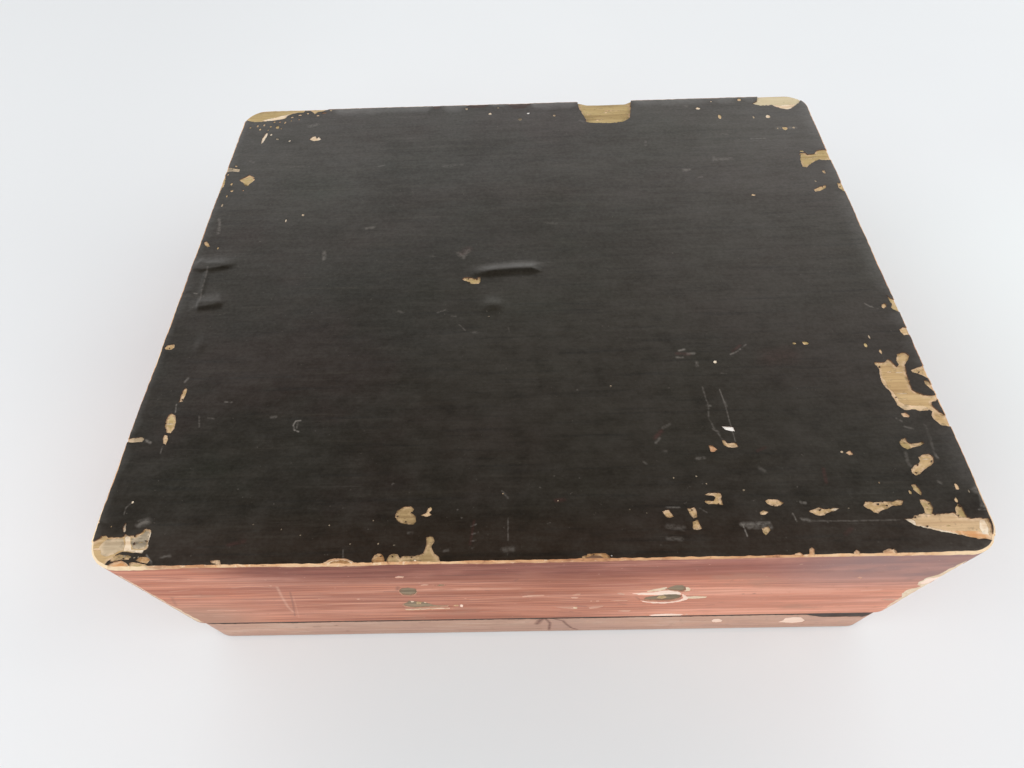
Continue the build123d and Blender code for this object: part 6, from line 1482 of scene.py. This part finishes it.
# ------------------------------------------------------------------ finishes of the CAD pieces that stay
slot_of = {s["node"]: s["material_slot"] for s in frame["record"]["subparts"]}
finish = {"plain_wood": "inside", "brass": "brass", "old_brass": "old_brass", "steel": "steel", "dark_steel": "dark_steel",
          "iron": "iron", "leather": "leather", "disc_steel": "disc_steel", "black_panel": "black", "red_board": "pink", "pink_rail": "rail"}
for name, o in frame["nodes"].items():
    look = LOOK[finish[slot_of[name]]]
    if name in ("bearer_left", "bearer_right"):
        look = LOOK["inside_y"]
    if not o.material_slots:
        o.data.materials.append(look)
    for s in o.material_slots:
        s.material = look

# ------------------------------------------------------------------ floor, light and camera
def floor_look():
    k = Look("pale_floor", Specular_IOR_Level=0.2)
    a = k.noise((0.004, 0.004, 0.004), 3, 0.5)
    b = k.noise((0.3, 0.3, 0.3), 3, 0.6)
    x, y = k.axis(0), k.axis(1)
    col = k.ramp(a, [(0.3, (0.800, 0.822, 0.838)), (0.7, (0.820, 0.842, 0.856))])
    # painted light and shade on the floor: darker to the back left, painted light beside the box to the left and right,
    # painted shadow in front of the box
    far = k.calc("MULTIPLY", k.span(x, -0.10, -0.34), k.span(y, -0.06, 0.16))
    col = k.mix(far, col, (0.766, 0.784, 0.798))
    lit = k.calc("MULTIPLY", k.calc("MULTIPLY", k.span(x, -0.34, -0.20), k.span(y, 0.05, -0.04)), k.span(y, -0.125, -0.07))
    col = k.mix(lit, col, (0.875, 0.892, 0.902))
    right = k.calc("MULTIPLY", k.calc("MULTIPLY", k.span(x, 0.13, 0.22), k.span(y, 0.22, 0.08)), k.span(y, -0.12, -0.02))
    col = k.mix(right, col, (0.846, 0.884, 0.892))
    near = k.calc("MULTIPLY", k.calc("MULTIPLY", k.span(x, -0.15, -0.04), k.span(x, 0.15, 0.04)), k.span(y, -0.10, -0.14))
    col = k.mix(near, col, (0.762, 0.810, 0.828))
    k.set("Base Color", col)
    # the floor glows more with distance, least towards the camera side: painted light that fades the far floor into the
    # backdrop
    away = k.calc("SQRT", k.calc("ADD", k.calc("MULTIPLY", x, x), k.calc("MULTIPLY", y, y)))
    k.set("Emission Color", k.ramp(a, [(0.3, (0.97, 0.985, 1.0)), (0.7, (1.0, 1.0, 1.0))]))
    k.set("Emission Strength", k.calc("MULTIPLY", k.span(away, 0.75, 3.6, 0.0, 0.62), k.span(k.calc("DIVIDE", y, away), -0.75, -0.25, 0.32, 1.0)))
    k.set("Roughness", k.span(b, 0.3, 0.7, 0.7, 0.8))
    return k.m


floor_mesh = bpy.data.meshes.new("floor")
floor_mesh.from_pydata([(-9, -9, 0), (9, -9, 0), (9, 9, 0), (-9, 9, 0)], [], [(0, 1, 2, 3)])
floor_mesh.materials.append(floor_look())
floor = bpy.data.objects.new("floor", floor_mesh)
bpy.context.scene.collection.objects.link(floor)

world = bpy.data.worlds.new("studio")
bpy.context.scene.world = world
world.use_nodes = True
wt = world.node_tree
wt.nodes.clear()
w_out = wt.nodes.new("ShaderNodeOutputWorld")
w_bg = wt.nodes.new("ShaderNodeBackground")
w_co = wt.nodes.new("ShaderNodeTexCoord")
w_sep = wt.nodes.new("ShaderNodeSeparateXYZ")
w_ramp = wt.nodes.new("ShaderNodeValToRGB")
wt.links.new(w_co.outputs["Generated"], w_sep.inputs[0])
wt.links.new(w_sep.outputs["Z"], w_ramp.inputs[0])
wt.links.new(w_ramp.outputs[0], w_bg.inputs["Color"])
wt.links.new(w_bg.outputs[0], w_out.inputs[0])
e = w_ramp.color_ramp.elements
e[0].position, e[0].color = 0.0, (1.0, 1.0, 1.0, 1)
e[1].position, e[1].color = 1.0, (0.05, 0.05, 0.05, 1)
for spot, level in ((0.48, 0.99), (0.64, 0.68), (0.80, 0.13)):
    e.new(spot).color = (level, level, level * 1.005, 1)
w_tilt = wt.nodes.new("ShaderNodeMath")
w_tilt.operation = "MULTIPLY_ADD"
wt.links.new(w_sep.outputs["Y"], w_tilt.inputs[0])
w_tilt.inputs[1].default_value = 0.56
w_tilt.inputs[2].default_value = 1.24
wt.links.new(w_tilt.outputs[0], w_bg.inputs["Strength"])


def area(name, at, aim, size, power, colour=(1, 1, 1)):
    d = bpy.data.lights.new(name, "AREA")
    d.shape = "RECTANGLE"
    d.size, d.size_y = size
    d.energy = power
    d.color = colour
    o = bpy.data.objects.new(name, d)
    o.location = at
    o.rotation_euler = (Vector(aim) - Vector(at)).to_track_quat("-Z", "Y").to_euler()
    bpy.context.scene.collection.objects.link(o)
    return o


area("left", (-1.80, -0.90, 1.50), (-0.1, -0.05, 0.0), (2.0, 1.8), 28.5)
area("right", (1.88, -0.75, 1.58), (0.1, 0, 0.0), (2.0, 2.0), 30.0)
area("front", (-0.2, -1.9, 1.3), (0, 0, 0.0), (2.0, 1.4), 1.2, (1.0, 0.99, 0.97))

cam = bpy.data.cameras.new("camera")
cam.sensor_fit = "HORIZONTAL"
cam.sensor_width = 36.0
cam.lens = LENS_PX / 1024.0 * 36.0
cam.clip_start = 0.01
cam.clip_end = 20.0
camera = bpy.data.objects.new("camera", cam)
camera.matrix_world = Matrix((
    (RIGHT[0], UP[0], -AHEAD[0], EYE[0] / 1000),
    (RIGHT[1], UP[1], -AHEAD[1], EYE[1] / 1000),
    (RIGHT[2], UP[2], -AHEAD[2], EYE[2] / 1000),
    (0, 0, 0, 1)))
bpy.context.scene.collection.objects.link(camera)
bpy.context.scene.camera = camera
bpy.context.scene.view_settings.view_transform = "Standard"
